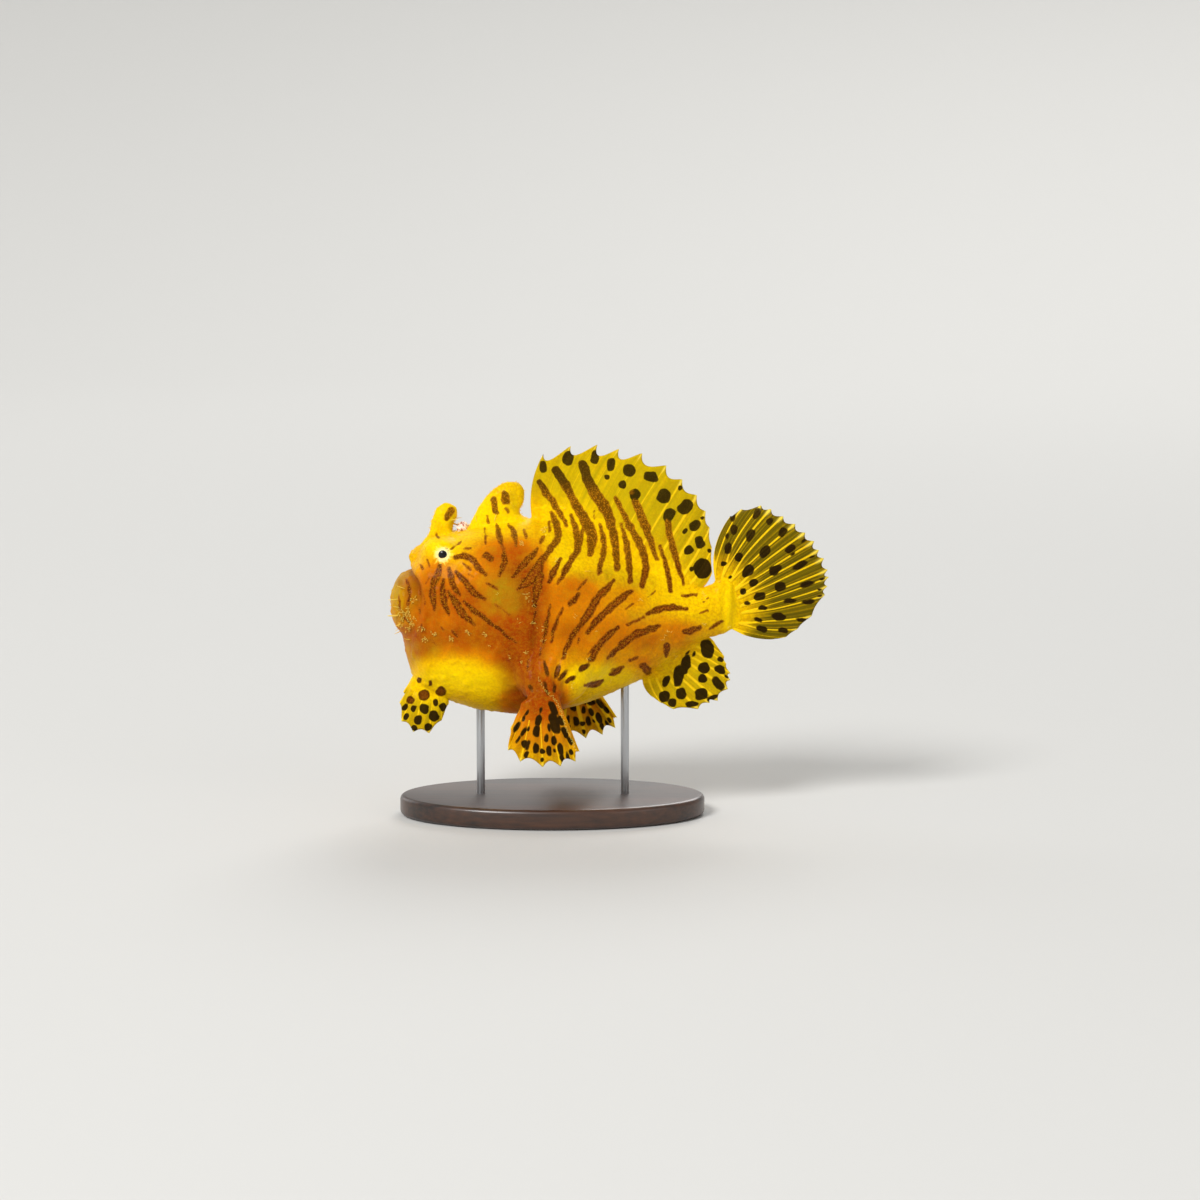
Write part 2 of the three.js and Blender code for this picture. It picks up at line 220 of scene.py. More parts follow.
# Skin: one unbroken hide over head, jaw, trunk, tail stem, arms and the two fleshy back spines, thick, soft
# and finely granular. It is moulded as one piece, closed all over, with the fins rising out of it.

SNOUT_X, TAIL_X = -44.4, 54.9
BACK = [
    (-44.4, 79.7), (-39.6, 81.2), (-32.7, 84.5), (-24.6, 86.3), (-15.6, 88.2), (-5.7, 89.2), (2.4, 87.2),
    (14.4, 81.8), (26.4, 75.4), (35.4, 70.9), (41.4, 68.9), (45.9, 69.1), (50.4, 71), (54.9, 72.6),
]
BELLY = [
    (-44.4, 39.7), (-36.6, 37), (-30, 35.1), (-23.4, 33), (-16.5, 31.8), (-9.3, 31.2), (-2.1, 31.5),
    (9.9, 34.2), (18.9, 37.9), (26.4, 41.2), (33.9, 45.7), (41.4, 51.2), (45.9, 53.5), (50.4, 54.9),
    (54.9, 55.9),
]
HALF_WIDTH = [
    (-44.4, 14.6), (-40, 16), (-32.7, 17.8), (-24, 19.6), (-14, 21), (-4, 21.4), (6, 20.2), (16, 17.2),
    (26, 12.8), (34, 9), (41, 6.2), (46, 4.6), (50.4, 3.4), (54.9, 2.4),
]
SQUARENESS = [(-44.4, 2.5), (-25, 2.5), (-5, 2.2), (20, 2.05), (54.9, 2)]
BACK_RIDGE = [(-44.4, 0), (-24, 0.02), (-5, 0.3), (20, 0.42), (54.9, 0.3)]


def mix(a, b, t):
    return a + (b - a) * t


def smooth_step(low, high, value):
    t = np.clip((value - low) / (high - low), 0, 1)
    return t * t * (3 - 2 * t)


def power(value, exponent):
    return np.sign(value) * np.abs(value) ** exponent


def line_through(points):
    """A smooth curve through (x, value) points, as a function of x."""
    xs, values = np.array(points, float).T
    before, after = np.r_[0, 0 : len(xs) - 1], np.r_[1 : len(xs), len(xs) - 1]
    slopes = (values[after] - values[before]) / (xs[after] - xs[before])

    def at(x):
        i = np.clip(np.searchsorted(xs, x, side="right") - 1, 0, len(xs) - 2)
        span = xs[i + 1] - xs[i]
        t = np.clip((x - xs[i]) / span, 0, 1)
        bend = span * t * (1 - t) * (slopes[i] * (1 - t) - slopes[i + 1] * t)
        return mix(values[i], values[i + 1], t * t * (3 - 2 * t)) + bend

    return at


back_at, belly_at, width_at = line_through(BACK), line_through(BELLY), line_through(HALF_WIDTH)
square_at, ridge_at = line_through(SQUARENESS), line_through(BACK_RIDGE)


def ball(name, place, segments=48, rings=32):
    """A sphere whose points on the unit ball are moved to place(points), in mm."""
    deselect()
    bpy.ops.mesh.primitive_uv_sphere_add(segments=segments, ring_count=rings, radius=1)
    piece = named(name)
    set_points(piece, place(points_of(piece) * MM))
    recalculate_outside(piece)
    return piece


def body_form(p):
    x = mix(SNOUT_X, TAIL_X, (1 - p[:, 2]) / 2)
    ring = np.arctan2(p[:, 1], p[:, 0])
    k = 2 / square_at(x)
    up, out = power(np.sin(ring), k), power(np.cos(ring), k)
    front = np.clip((x - SNOUT_X) / 7.5, 0, 1)
    rear = np.clip((TAIL_X - x) / 3, 0, 1)
    full = (1 - (1 - front) ** 2) ** 0.45 * (1 - (1 - rear) ** 2) ** 0.5
    narrow = 1 - ridge_at(x) * np.maximum(up, 0) ** 1.6
    tall = (back_at(x) - belly_at(x)) / 2
    middle = (back_at(x) + belly_at(x)) / 2
    return np.stack([x, out * width_at(x) * narrow * full, middle + up * tall * full], 1)


def lump(centre, size, square=2.0):
    """A form for ball: an ellipsoid, squarer as its exponent goes past 2."""

    def form(p):
        return np.array(centre) + power(p, 2 / square) * size

    return form


def curve_through(points, closed=False):
    """A Catmull-Rom curve through points, as a function of an array t from 0 to 1."""
    points = np.array(points, float)
    count = len(points) if closed else len(points) - 1

    def at(t):
        t = np.asarray(t, float)
        q = np.clip(t, 0, 1) * count if not closed else (t % 1) * count
        i = np.minimum(q.astype(int), count - 1)
        f = (q - i)[..., None]
        if closed:
            a, b, c, d = (points[(i + k) % len(points)] for k in (-1, 0, 1, 2))
        else:
            last = len(points) - 1
            b, c = points[i], points[np.minimum(i + 1, last)]
            a = np.where((i > 0)[..., None], points[np.maximum(i - 1, 0)], 2 * b - c)
            d = np.where((i + 2 <= last)[..., None], points[np.minimum(i + 2, last)], 2 * c - b)
        return 0.5 * (
            2 * b + (c - a) * f + (2 * a - 5 * b + 4 * c - d) * f**2 + (3 * b - a - 3 * c + d) * f**3
        )

    return at


def limb(joints, wide, thick):
    """A form for ball: a swelling tube along joints, its half sizes given as functions of 0 to 1."""
    line = curve_through(joints)

    def form(p):
        t = (1 - p[:, 2]) / 2
        ring = np.arctan2(p[:, 1], p[:, 0])
        full = np.maximum(1 - p[:, 2] ** 2, 0) ** 0.3
        forward = line(t + 0.01) - line(t - 0.01)
        forward /= np.linalg.norm(forward, axis=1)[:, None]
        level = np.array([1.0, 0, 0]) - forward * forward[:, :1]
        level /= np.linalg.norm(level, axis=1)[:, None]
        depth = np.cross(forward, level)
        return (
            line(t)
            + level * (np.cos(ring) * full * wide(t))[:, None]
            + depth * (np.sin(ring) * full * thick(t))[:, None]
        )

    return form


def cushion(outline, centre, thickness):
    """A form for ball: it fills a side outline, swelling from the rim to the middle."""
    rim = curve_through(outline, closed=True)

    def form(p):
        edge = rim(np.arctan2(p[:, 1], p[:, 0]) / (2 * np.pi))
        reach = np.hypot(p[:, 0], p[:, 1])[:, None] ** 0.6
        side = mix(np.array(centre, float), edge, reach)
        return np.stack([side[:, 0], p[:, 2] * thickness / 2, side[:, 1]], 1)

    return form


JAW = {"centre": (-38, 0, 64.7), "size": (10, 14.5, 9.6), "square": 2.8}
EYE = {"x": -31.8, "y": 10.75, "z": 80.2, "radius": 3.0}
GAZE = (-0.1, 0.98, 0.12)
SECOND_SPINE = [
    (-38.6, 80.6), (-36.6, 85.4), (-35.4, 90), (-33.7, 93.3), (-31.2, 94.4), (-28.8, 93.2), (-28.4, 90.8),
    (-29.5, 88.4), (-29.8, 85.6), (-29.4, 80),
]
THIRD_SPINE = [
    (-27.4, 82.6), (-25, 87), (-21.3, 93.8), (-17.3, 98.6), (-12.9, 100.7), (-9.6, 100.2), (-8.3, 97.6),
    (-8.6, 94.6), (-9.9, 92.3), (-9, 90.5), (-5.6, 88.6), (-6, 84),
]
ARM_WIDE = line_through([(0, 10), (0.4, 7.6), (0.75, 5.9), (1, 5.6)])
ARM_THICK = line_through([(0, 6.4), (0.4, 4.6), (0.75, 3.0), (1, 2.0)])
ARM_JOINTS = {
    -1: [(1.5, -13.5, 54), (-1.4, -21.4, 46.5), (-3.3, -25.5, 37.8)],
    1: [(5.5, 13.5, 53), (5, 21.4, 45), (5.4, 25.5, 35.5)],
}

flesh = [
    ball("body", body_form, 192, 256),
    ball("jaw", lump(**JAW), 96, 64),
    ball("snout", lump((-38.6, 0, 78.3), (3.5, 5.2, 3.4)), 48, 32),
    ball("second_spine", cushion(SECOND_SPINE, (-33, 86.5), 3.6), 64, 32),
    ball("third_spine", cushion(THIRD_SPINE, (-14.5, 91), 5), 64, 32),
]
for side in (-1, 1):
    flesh += [
        ball("orbit", lump((-32.5, side * 7.6, 79.6), (6.4, 5.6, 5.6))),
        ball("arm", limb(ARM_JOINTS[side], ARM_WIDE, ARM_THICK), 48, 40),
        ball("shoulder", lump((4, side * 14, 52), (14, 7, 12)), 48, 32),
        ball("arm_root", lump((0.5, side * 18.6, 45.6), (11, 6.4, 9.4)), 48, 32),
        ball("nostril", lump((-41.4, side * 4.2, 78.6), (1.3, 1.1, 1.5)), 24, 16),
    ]


def in_plane(points):
    return [(x, 0, z) for x, z in points]


class FinSheet:
    """The middle surface of a fin: u runs across its rays, reach from root (0) to ray tips (1)."""

    def __init__(self, roots, tips, dip, bow, sway, pleat, skew=0.75, forked=False, faint=None):
        self.root, self.tip = curve_through(roots), curve_through(tips)
        self.webs = len(tips) - 1
        self.dip, self.bow, self.sway = dip, bow, sway
        self.pleat, self.skew, self.forked = pleat, skew, forked
        self.faint = faint or (lambda u: 0 * u)

    def at(self, u, reach):
        base, end = self.root(u), self.tip(u)
        point = base + (end - base) * reach[:, None]
        point += self.bow(u) * (4 * reach * (1 - reach))[:, None]
        fold = self.pleat * np.cos(2 * np.pi * u * self.webs) * smooth_step(0.05, 0.6, reach)
        point[:, 1] += self.sway(u) * np.maximum(reach, 0) ** 2 + fold
        return point

    def normal(self, u, reach, step=2e-3):
        across = self.at(u + step, reach) - self.at(u - step, reach)
        along = self.at(u, reach + step) - self.at(u, reach - step)
        normal = np.cross(across, along)
        return normal / np.linalg.norm(normal, axis=1)[:, None]

    def rim(self, u):
        """How far towards the line of ray tips the webbing between two rays comes."""
        g = ((u * self.webs) % 1) ** self.skew
        return 1 - self.dip(u) * (4 * g * (1 - g)) ** 1.35

    def from_ray(self, u, reach, step=1e-3):
        """Distance to the nearest ray, in mm."""
        q = u * self.webs
        rays = np.arange(self.webs + 1.0)[None, :]
        if self.forked:
            stem = 2 * np.floor(rays / 2) + 0.5
            rays = mix(stem, rays, smooth_step(0.12, 0.55, reach)[:, None])
        gap = np.abs(q[:, None] - rays).min(axis=1)
        spacing = np.linalg.norm(self.at(u + step, reach) - self.at(u - step, reach), axis=1)
        return gap * spacing / (2 * step * self.webs)


def add_values(piece, **values):
    """Stores one number per point under each name, for the material to read."""
    for name, value in values.items():
        layer = piece.data.attributes.new(name, "FLOAT", "POINT")
        layer.data.foreach_set("value", np.asarray(value, np.float32))


def sheet_piece(name, fin, columns, rows, low, high, half):
    """A closed sheet round a fin's middle surface from reach low to high of its rim; half(u, reach) in mm."""
    deselect()
    bpy.ops.mesh.primitive_grid_add(x_subdivisions=columns, y_subdivisions=rows, size=2)
    front = named(name)
    grid = points_of(front) * MM
    u, v = (grid[:, 0] + 1) / 2, (grid[:, 1] + 1) / 2
    reach = mix(low, high * fin.rim(u), v)
    middle, normal = fin.at(u, reach), fin.normal(u, np.maximum(reach, 0.02))
    length = np.linalg.norm(fin.tip(u) - fin.root(u), axis=1)
    width = np.linalg.norm(np.diff(fin.at(np.linspace(0, 1, 40), np.full(40, 0.6)), axis=0), axis=1).sum()
    inset = np.minimum(np.minimum(u, 1 - u) * width, np.minimum(v, 1 - v) * (high - low) * length)
    rounded = np.sqrt(np.clip(inset / 0.7, 0, 1))
    offset = normal * (half(u, reach) * rounded)[:, None]
    set_points(front, middle + offset)
    add_values(front, ray=fin.from_ray(u, reach) + fin.faint(u), reach=reach, strand=u * fin.webs)
    back_mesh = front.data.copy()
    back = bpy.data.objects.new(name + "_back", back_mesh)
    bpy.context.collection.objects.link(back)
    set_points(back, middle - offset)
    back_mesh.flip_normals()
    deselect()
    back.select_set(True)
    front.select_set(True)
    bpy.context.view_layer.objects.active = front
    bpy.ops.object.join()
    recalculate_outside(front)
    return front


def lean(start, end):
    """A bend of the rays that changes from one (x, z) to another along a fin."""
    a, b = np.array([start[0], 0, start[1]], float), np.array([end[0], 0, end[1]], float)
    return lambda u: a + (b - a) * np.asarray(u)[:, None]


def wave(height, turns, start):
    return lambda u: height * np.sin(turns * u + start)


# Marks and outlines are placed on a side drawing, in steps across and down, as a camera 1 m away sees them
DRAWING_STEP = 0.3  # mm
DRAWING_ORIGIN = (552, 815)
DRAWING_CENTRE = 600
DRAWING_TILT = math.radians(8)
DRAWING_DISTANCE = 1000
MIDDLE_X, MIDDLE_Z, MIDDLE_LIFT = 14.4, 65, 64.5


def off_drawing(points):
    """(x, z) in mm on the middle plane from places on the side drawing."""
    x0, y0 = DRAWING_ORIGIN
    return [((x - x0) * DRAWING_STEP, (y0 - y) * DRAWING_STEP / math.cos(DRAWING_TILT)) for x, y in points]


DORSAL_ROOT = [(-5.4, 86.6), (2.4, 84.8), (14.4, 79.4), (26.4, 73), (35.4, 68.5), (41, 66.8)]
DORSAL_TIPS = off_drawing([
    (543.7, 455), (571, 447.5), (597.5, 446), (618.9, 450), (642, 454), (666, 466), (682, 480), (696.6, 496),
    (705.5, 512.5), (709.6, 529), (711.8, 549), (712, 573),
])
CAUDAL_ROOT = [(49.5, 69.2), (50.8, 62.9), (52, 57.5)]
CAUDAL_TIPS = off_drawing([
    (730, 517), (741, 510), (760.5, 506), (770.5, 509.5), (782.5, 516.5), (794.5, 524), (804.5, 532.5),
    (813.5, 541), (818.5, 550), (823.5, 558.5), (827.5, 570), (828.7, 577.5), (827.5, 587), (825, 596),
    (812, 617), (798, 630), (786, 638), (770, 639.5),
])
ANAL_ROOT = [(27.2, 42.6), (35.4, 48.4), (42.8, 54.4)]
ANAL_TIPS = off_drawing([
    (651, 696), (661, 703), (674, 709.5), (698.5, 709.5), (710, 703.5), (718.5, 701.5), (728.5, 690),
    (731, 681), (731, 674), (727, 664.5), (724.5, 656.5), (714, 641.5),
])
HAND_ROOT = [(-8.8, -25.4, 36.6), (-3.3, -25.8, 38.6), (2.2, -25.2, 38.8)]
HAND_TIPS = [
    (510, 729), (507.5, 751), (520, 762.5), (542.5, 768.5), (560.5, 768), (575.5, 763.5), (579.5, 753),
]
PELVIC_ROOT = [(-41, -6.4, 42.6), (-36, -6.8, 41.6), (-31.2, -6.4, 39)]
PELVIC_TIPS = [(398.5, 703), (400.5, 722), (412.3, 732.6), (428.2, 734), (441, 721), (448, 704)]


def toward_viewer(points, y):
    """The same, for tips that stand out from the middle plane to y, as the drawing sees them."""
    lift = -y * math.tan(DRAWING_TILT)
    near = 1 - y / DRAWING_DISTANCE
    return [
        (x / near + MIDDLE_X * (1 - 1 / near), y, (z - MIDDLE_Z) / near + MIDDLE_Z + lift)
        for x, z in off_drawing(points)
    ]


FINS = {
    "dorsal_fin": FinSheet(
        in_plane(DORSAL_ROOT), in_plane(DORSAL_TIPS), lambda u: mix(0.14, 0.05, smooth_step(-0.1, 0.75, u)),
        lean((-2.2, 0.6), (0.8, -1.2)), wave(1.3, 9, 0.6), 0.16,
        faint=lambda u: 0.5 * smooth_step(0.75, 0.3, u),
    ),
    "caudal_fin": FinSheet(
        in_plane(CAUDAL_ROOT), in_plane(CAUDAL_TIPS), lambda u: 0.035 + 0 * u,
        lean((-2.8, 0.2), (0.2, -1.2)), wave(1.4, 7, 2), 0.14, 0.9, True,
    ),
    "anal_fin": FinSheet(
        in_plane(ANAL_ROOT), in_plane(ANAL_TIPS), lambda u: 0.06 + 0 * u,
        lean((-0.9, -0.3), (0.4, 1.0)), wave(0.9, 6, 4), 0.14, 0.9,
    ),
    "pectoral_fin": FinSheet(
        HAND_ROOT, toward_viewer(HAND_TIPS, -28.6), lambda u: mix(0.13, 0.1, u),
        lambda u: np.array([0, -1.6, 0]) * np.sin(np.pi * u)[:, None], wave(-0.9, 5, 0.4), 0.45, 0.85,
    ),
    "pelvic_fin": FinSheet(
        PELVIC_ROOT, toward_viewer(PELVIC_TIPS, -10), lambda u: 0.1 + 0 * u,
        lambda u: np.array([0, -1.8, 0]) * np.sin(np.pi * u)[:, None], wave(-0.5, 4, 0), 0.25, 0.95,
    ),
}


def skirt(rise, wide, thin):
    """Half thickness of the flesh that runs up into a fin, thinning until it ends inside the fin's own."""
    return lambda u, reach: mix(wide, thin, smooth_step(-0.1, rise, reach) ** 0.6)


flesh += [
    sheet_piece("dorsal_skirt", FINS["dorsal_fin"], 90, 16, -0.08, 0.34, skirt(0.3, 3.4, 0.42)),
    sheet_piece("caudal_skirt", FINS["caudal_fin"], 60, 16, -0.1, 0.24, skirt(0.2, 2.6, 0.45)),
    sheet_piece("anal_skirt", FINS["anal_fin"], 50, 16, -0.1, 0.3, skirt(0.26, 2.8, 0.42)),
]


WRIST, FAR_WRIST = np.array([-3.3, 25.5, 37.8]), np.array([5.4, 25.5, 35.5])
FAR_SWING = math.radians(12)


def mirrored(points):
    return points * (1, -1, 1)


def swung(points, turn):
    x, y, z = points.T
    return np.stack([x * math.cos(turn) - z * math.sin(turn), y, z * math.cos(turn) + x * math.sin(turn)], 1)


def to_far_hand(points):
    """Swings the mirrored left hand back to where the right one hangs."""
    return swung(mirrored(points) - WRIST, FAR_SWING) + FAR_WRIST


def from_far_arm(points):
    """Points of the right arm and hand swung forward to the left one's place, other points as they are."""
    on_arm = smooth_step(49, 41, points[:, 2]) * smooth_step(15, 20, points[:, 1])
    return mix(points, swung(points - FAR_WRIST, -FAR_SWING) + WRIST, on_arm[:, None])


for name, far in (("pectoral_fin", to_far_hand), ("pelvic_fin", mirrored)):
    shape = (0.36, 2.5, 0.5) if name == "pectoral_fin" else (0.5, 3.2, 0.7)
    for side in (-1, 1):
        made = sheet_piece(name + "_skirt", FINS[name], 48, 18, -0.12, shape[0], skirt(*shape))
        if side > 0:
            set_points(made, far(points_of(made)))
            recalculate_outside(made)
        flesh.append(made)

deselect()
for form in flesh:
    form.select_set(True)
bpy.context.view_layer.objects.active = flesh[0]
bpy.ops.object.join()
skin = named("skin")
for value in ("ray", "reach", "strand"):
    skin.data.attributes.remove(skin.data.attributes[value])
SKIN_VOXEL = 0.48  # mm
closed = skin.modifiers.new("closed", "REMESH")
closed.mode = "VOXEL"
closed.voxel_size = SKIN_VOXEL * MM
apply_modifiers(skin)


def relaxed(points, edges, passes, weight, outward=None):
    """Points drawn towards their neighbours' middle by weight, or along outward only, which fills creases."""
    count = np.bincount(edges.ravel(), minlength=len(points))[:, None]
    for _ in range(passes):
        total = np.zeros_like(points)
        for a, b in ((0, 1), (1, 0)):
            for axis in range(3):
                total[:, axis] += np.bincount(edges[:, a], points[edges[:, b], axis], len(points))
        step = total / count - points
        if outward is not None:
            step = outward * np.maximum((step * outward).sum(axis=1), 0)[:, None]
        points = points + step * weight[:, None]
    return points


def edges_of(piece):
    flat = np.empty(len(piece.data.edges) * 2, np.int32)
    piece.data.edges.foreach_get("vertices", flat)
    return flat.reshape(-1, 2)


def normals_of(piece):
    flat = np.empty(len(piece.data.vertices) * 3)
    piece.data.vertex_normals.foreach_get("vector", flat)
    return flat.reshape(-1, 3)


def from_jaw(points):
    """Rough distance outside the lower jaw, in mm."""
    centre, size, square = JAW["centre"], JAW["size"], JAW["square"]
    level = (np.abs((points - centre) / size) ** square).sum(axis=1) ** (1 / square)
    return (level - 1) * 10


def on_drawing(points):
    """Where points of the model, in mm, fall on the side drawing, which stands for either side."""
    x, y, z = points[:, 0], np.abs(points[:, 1]), points[:, 2]
    depth = -y * math.cos(DRAWING_TILT) - (z - MIDDLE_Z) * math.sin(DRAWING_TILT)
    lift = z * math.cos(DRAWING_TILT) - y * math.sin(DRAWING_TILT)
    steps = 1 / (1 + depth / DRAWING_DISTANCE) / DRAWING_STEP
    across = DRAWING_CENTRE + (x - MIDDLE_X) * steps
    down = DRAWING_CENTRE - (lift - MIDDLE_LIFT) * steps
    return np.stack([across, down], 1)


def near_stroke(place, path, width, reach=10):
    """Steps outside a smooth stroke on the drawing. A path point's third number scales its width there."""
    last = len(path) - 1
    usual = [0.5 if i in (0, last) else 1 for i in range(len(path))]
    knots = np.array([(*p, scale)[:3] for p, scale in zip(path, usual)])
    count = int(np.linalg.norm(np.diff(knots[:, :2], axis=0), axis=1).sum() / 1.2) + 3
    line = curve_through(knots)(np.linspace(0, 1, count))
    low, high = line[:, :2].min(axis=0) - width - reach, line[:, :2].max(axis=0) + width + reach
    close = np.flatnonzero(((place > low) & (place < high)).all(axis=1))
    away = np.full(len(place), float(reach))
    for x, y, scale in line:
        gap = np.hypot(place[close, 0] - x, place[close, 1] - y) - width * scale
        away[close] = np.minimum(away[close], gap)
    return away


def roughness_of(points, size, seed):
    """Smooth random height from -1 to 1 with lumps of a size in mm."""
    return np.array([noise.noise(p) for p in points / size + seed])


points, edges = points_of(skin), edges_of(skin)
points = relaxed(points, edges, 7, np.full(len(points), 0.55))

# Where the jaw meets the throat and the arms meet the flanks, the creases are filled to soft folds
x, y, z = points.T
under_jaw = smooth_step(72, 65, z) * smooth_step(-24, -30, x) * smooth_step(7, 3, np.abs(from_jaw(points)))
at_shoulder = np.exp(-(((x - 1) / 19) ** 4) - ((z - 50) / 14) ** 4) * smooth_step(7, 10, np.abs(y))
soft = np.maximum(under_jaw, at_shoulder)
for _ in range(3):
    set_points(skin, points)
    points = relaxed(points, edges, 25, soft * 0.9, normals_of(skin))
points = relaxed(points, edges, 6, soft * 0.5)

# Folds of loose skin, as strokes on the side drawing: depth in mm, half width in steps, path
FOLDS = [
    (0.4, 3.8, ((536, 598), (539, 618), (534, 645), (531, 668), (537, 690))),
    (0.35, 2.6, ((562, 655), (555, 672), (556, 690))),
    (0.3, 2.4, ((572, 668), (563, 684), (563, 698))),
    (0.3, 2.6, ((417, 580), (418.5, 594), (419, 610), (417, 624), (411, 636))),
    (0.25, 2.2, ((428, 592), (431, 612), (427, 634))),
    (0.25, 1.8, ((402, 582), (406, 600), (404, 622))),
    (0.25, 3.0, ((500, 655), (512, 672), (520, 692))),
    (0.25, 2.4, ((726, 585), (724, 604), (724, 626))),
    (0.2, 2.2, ((484, 525), (489, 533), (497, 538))),
]
set_points(skin, points)
normals = normals_of(skin)
place = on_drawing(points)
height = np.zeros(len(points))
for depth, width, path in FOLDS:
    away = np.maximum(near_stroke(place, path, 0.1), 0)
    valley = np.exp(-((away / width) ** 2))
    shoulder = 0.5 * np.exp(-(((away - 2.2 * width) / width) ** 2))
    height -= depth * (valley - shoulder)

# Lips: the mouth line is a groove where the jaw meets the head, with a low roll of lip on either side
gap = from_jaw(points)
in_front = smooth_step(-33.5, -37, points[:, 0]) * smooth_step(61, 73, points[:, 2])
mouth_line = np.exp(-(((gap - 0.6) / 0.6) ** 2)) * in_front
lips = np.exp(-(((gap - 2.5) / 1.1) ** 2)) + 0.7 * np.exp(-(((gap + 1.2) / 1.0) ** 2))
height += 0.36 * lips * in_front - 0.9 * mouth_line
# painted shade: the mouth groove and the bottoms of the folds are darkened where shade falls in them
crease = np.maximum(mouth_line, np.clip(-height / 0.9, 0, 1) * 0.5)

# Lids: a low ring of skin that the eye looks out of
for side in (-1, 1):
    away = np.linalg.norm(points - (EYE["x"], side * EYE["y"], EYE["z"]), axis=1)
    height += 0.22 * np.exp(-(((away - EYE["radius"] - 0.3) / 0.7) ** 2))

# Loose hide is never quite even: low swells about 5 mm across, and small ones about 1.7 mm across
clear_of_eyes = smooth_step(3.5, 6, np.hypot(points[:, 0] - EYE["x"], points[:, 2] - EYE["z"]))
height += (0.16 * roughness_of(points, 5, 3) + 0.1 * roughness_of(points, 1.7, 11)) * clear_of_eyes

# Warts: low round ones all over, more of them on the face than on the flanks
WARTS, WART_WIDTHS, WART_HEIGHTS = 700, (0.5, 1.0), (0.1, 0.3)  # mm
wart_seed = np.random.default_rng(19)
chance = (1 + 3 * smooth_step(-20, -34, points[:, 0])) * clear_of_eyes + 1e-6
for i in wart_seed.choice(len(points), WARTS, replace=False, p=chance / chance.sum()):
    wide = wart_seed.uniform(*WART_WIDTHS)
    near_wart = np.flatnonzero(np.abs(points[:, 0] - points[i, 0]) < 3 * wide)
    away = np.linalg.norm(points[near_wart] - points[i], axis=1)
    height[near_wart] += wart_seed.uniform(*WART_HEIGHTS) * np.exp(-((away / wide) ** 2))
set_points(skin, points + normals * height[:, None])
add_values(skin, crease=crease)
deselect()
skin.select_set(True)
bpy.context.view_layer.objects.active = skin
bpy.ops.object.shade_smooth()

# Markings, the same on both sides: brown stripes and black spots over soft patches of colour, all placed in
# steps on the side drawing. A stripe is its half width and its path, and tapers at its ends.

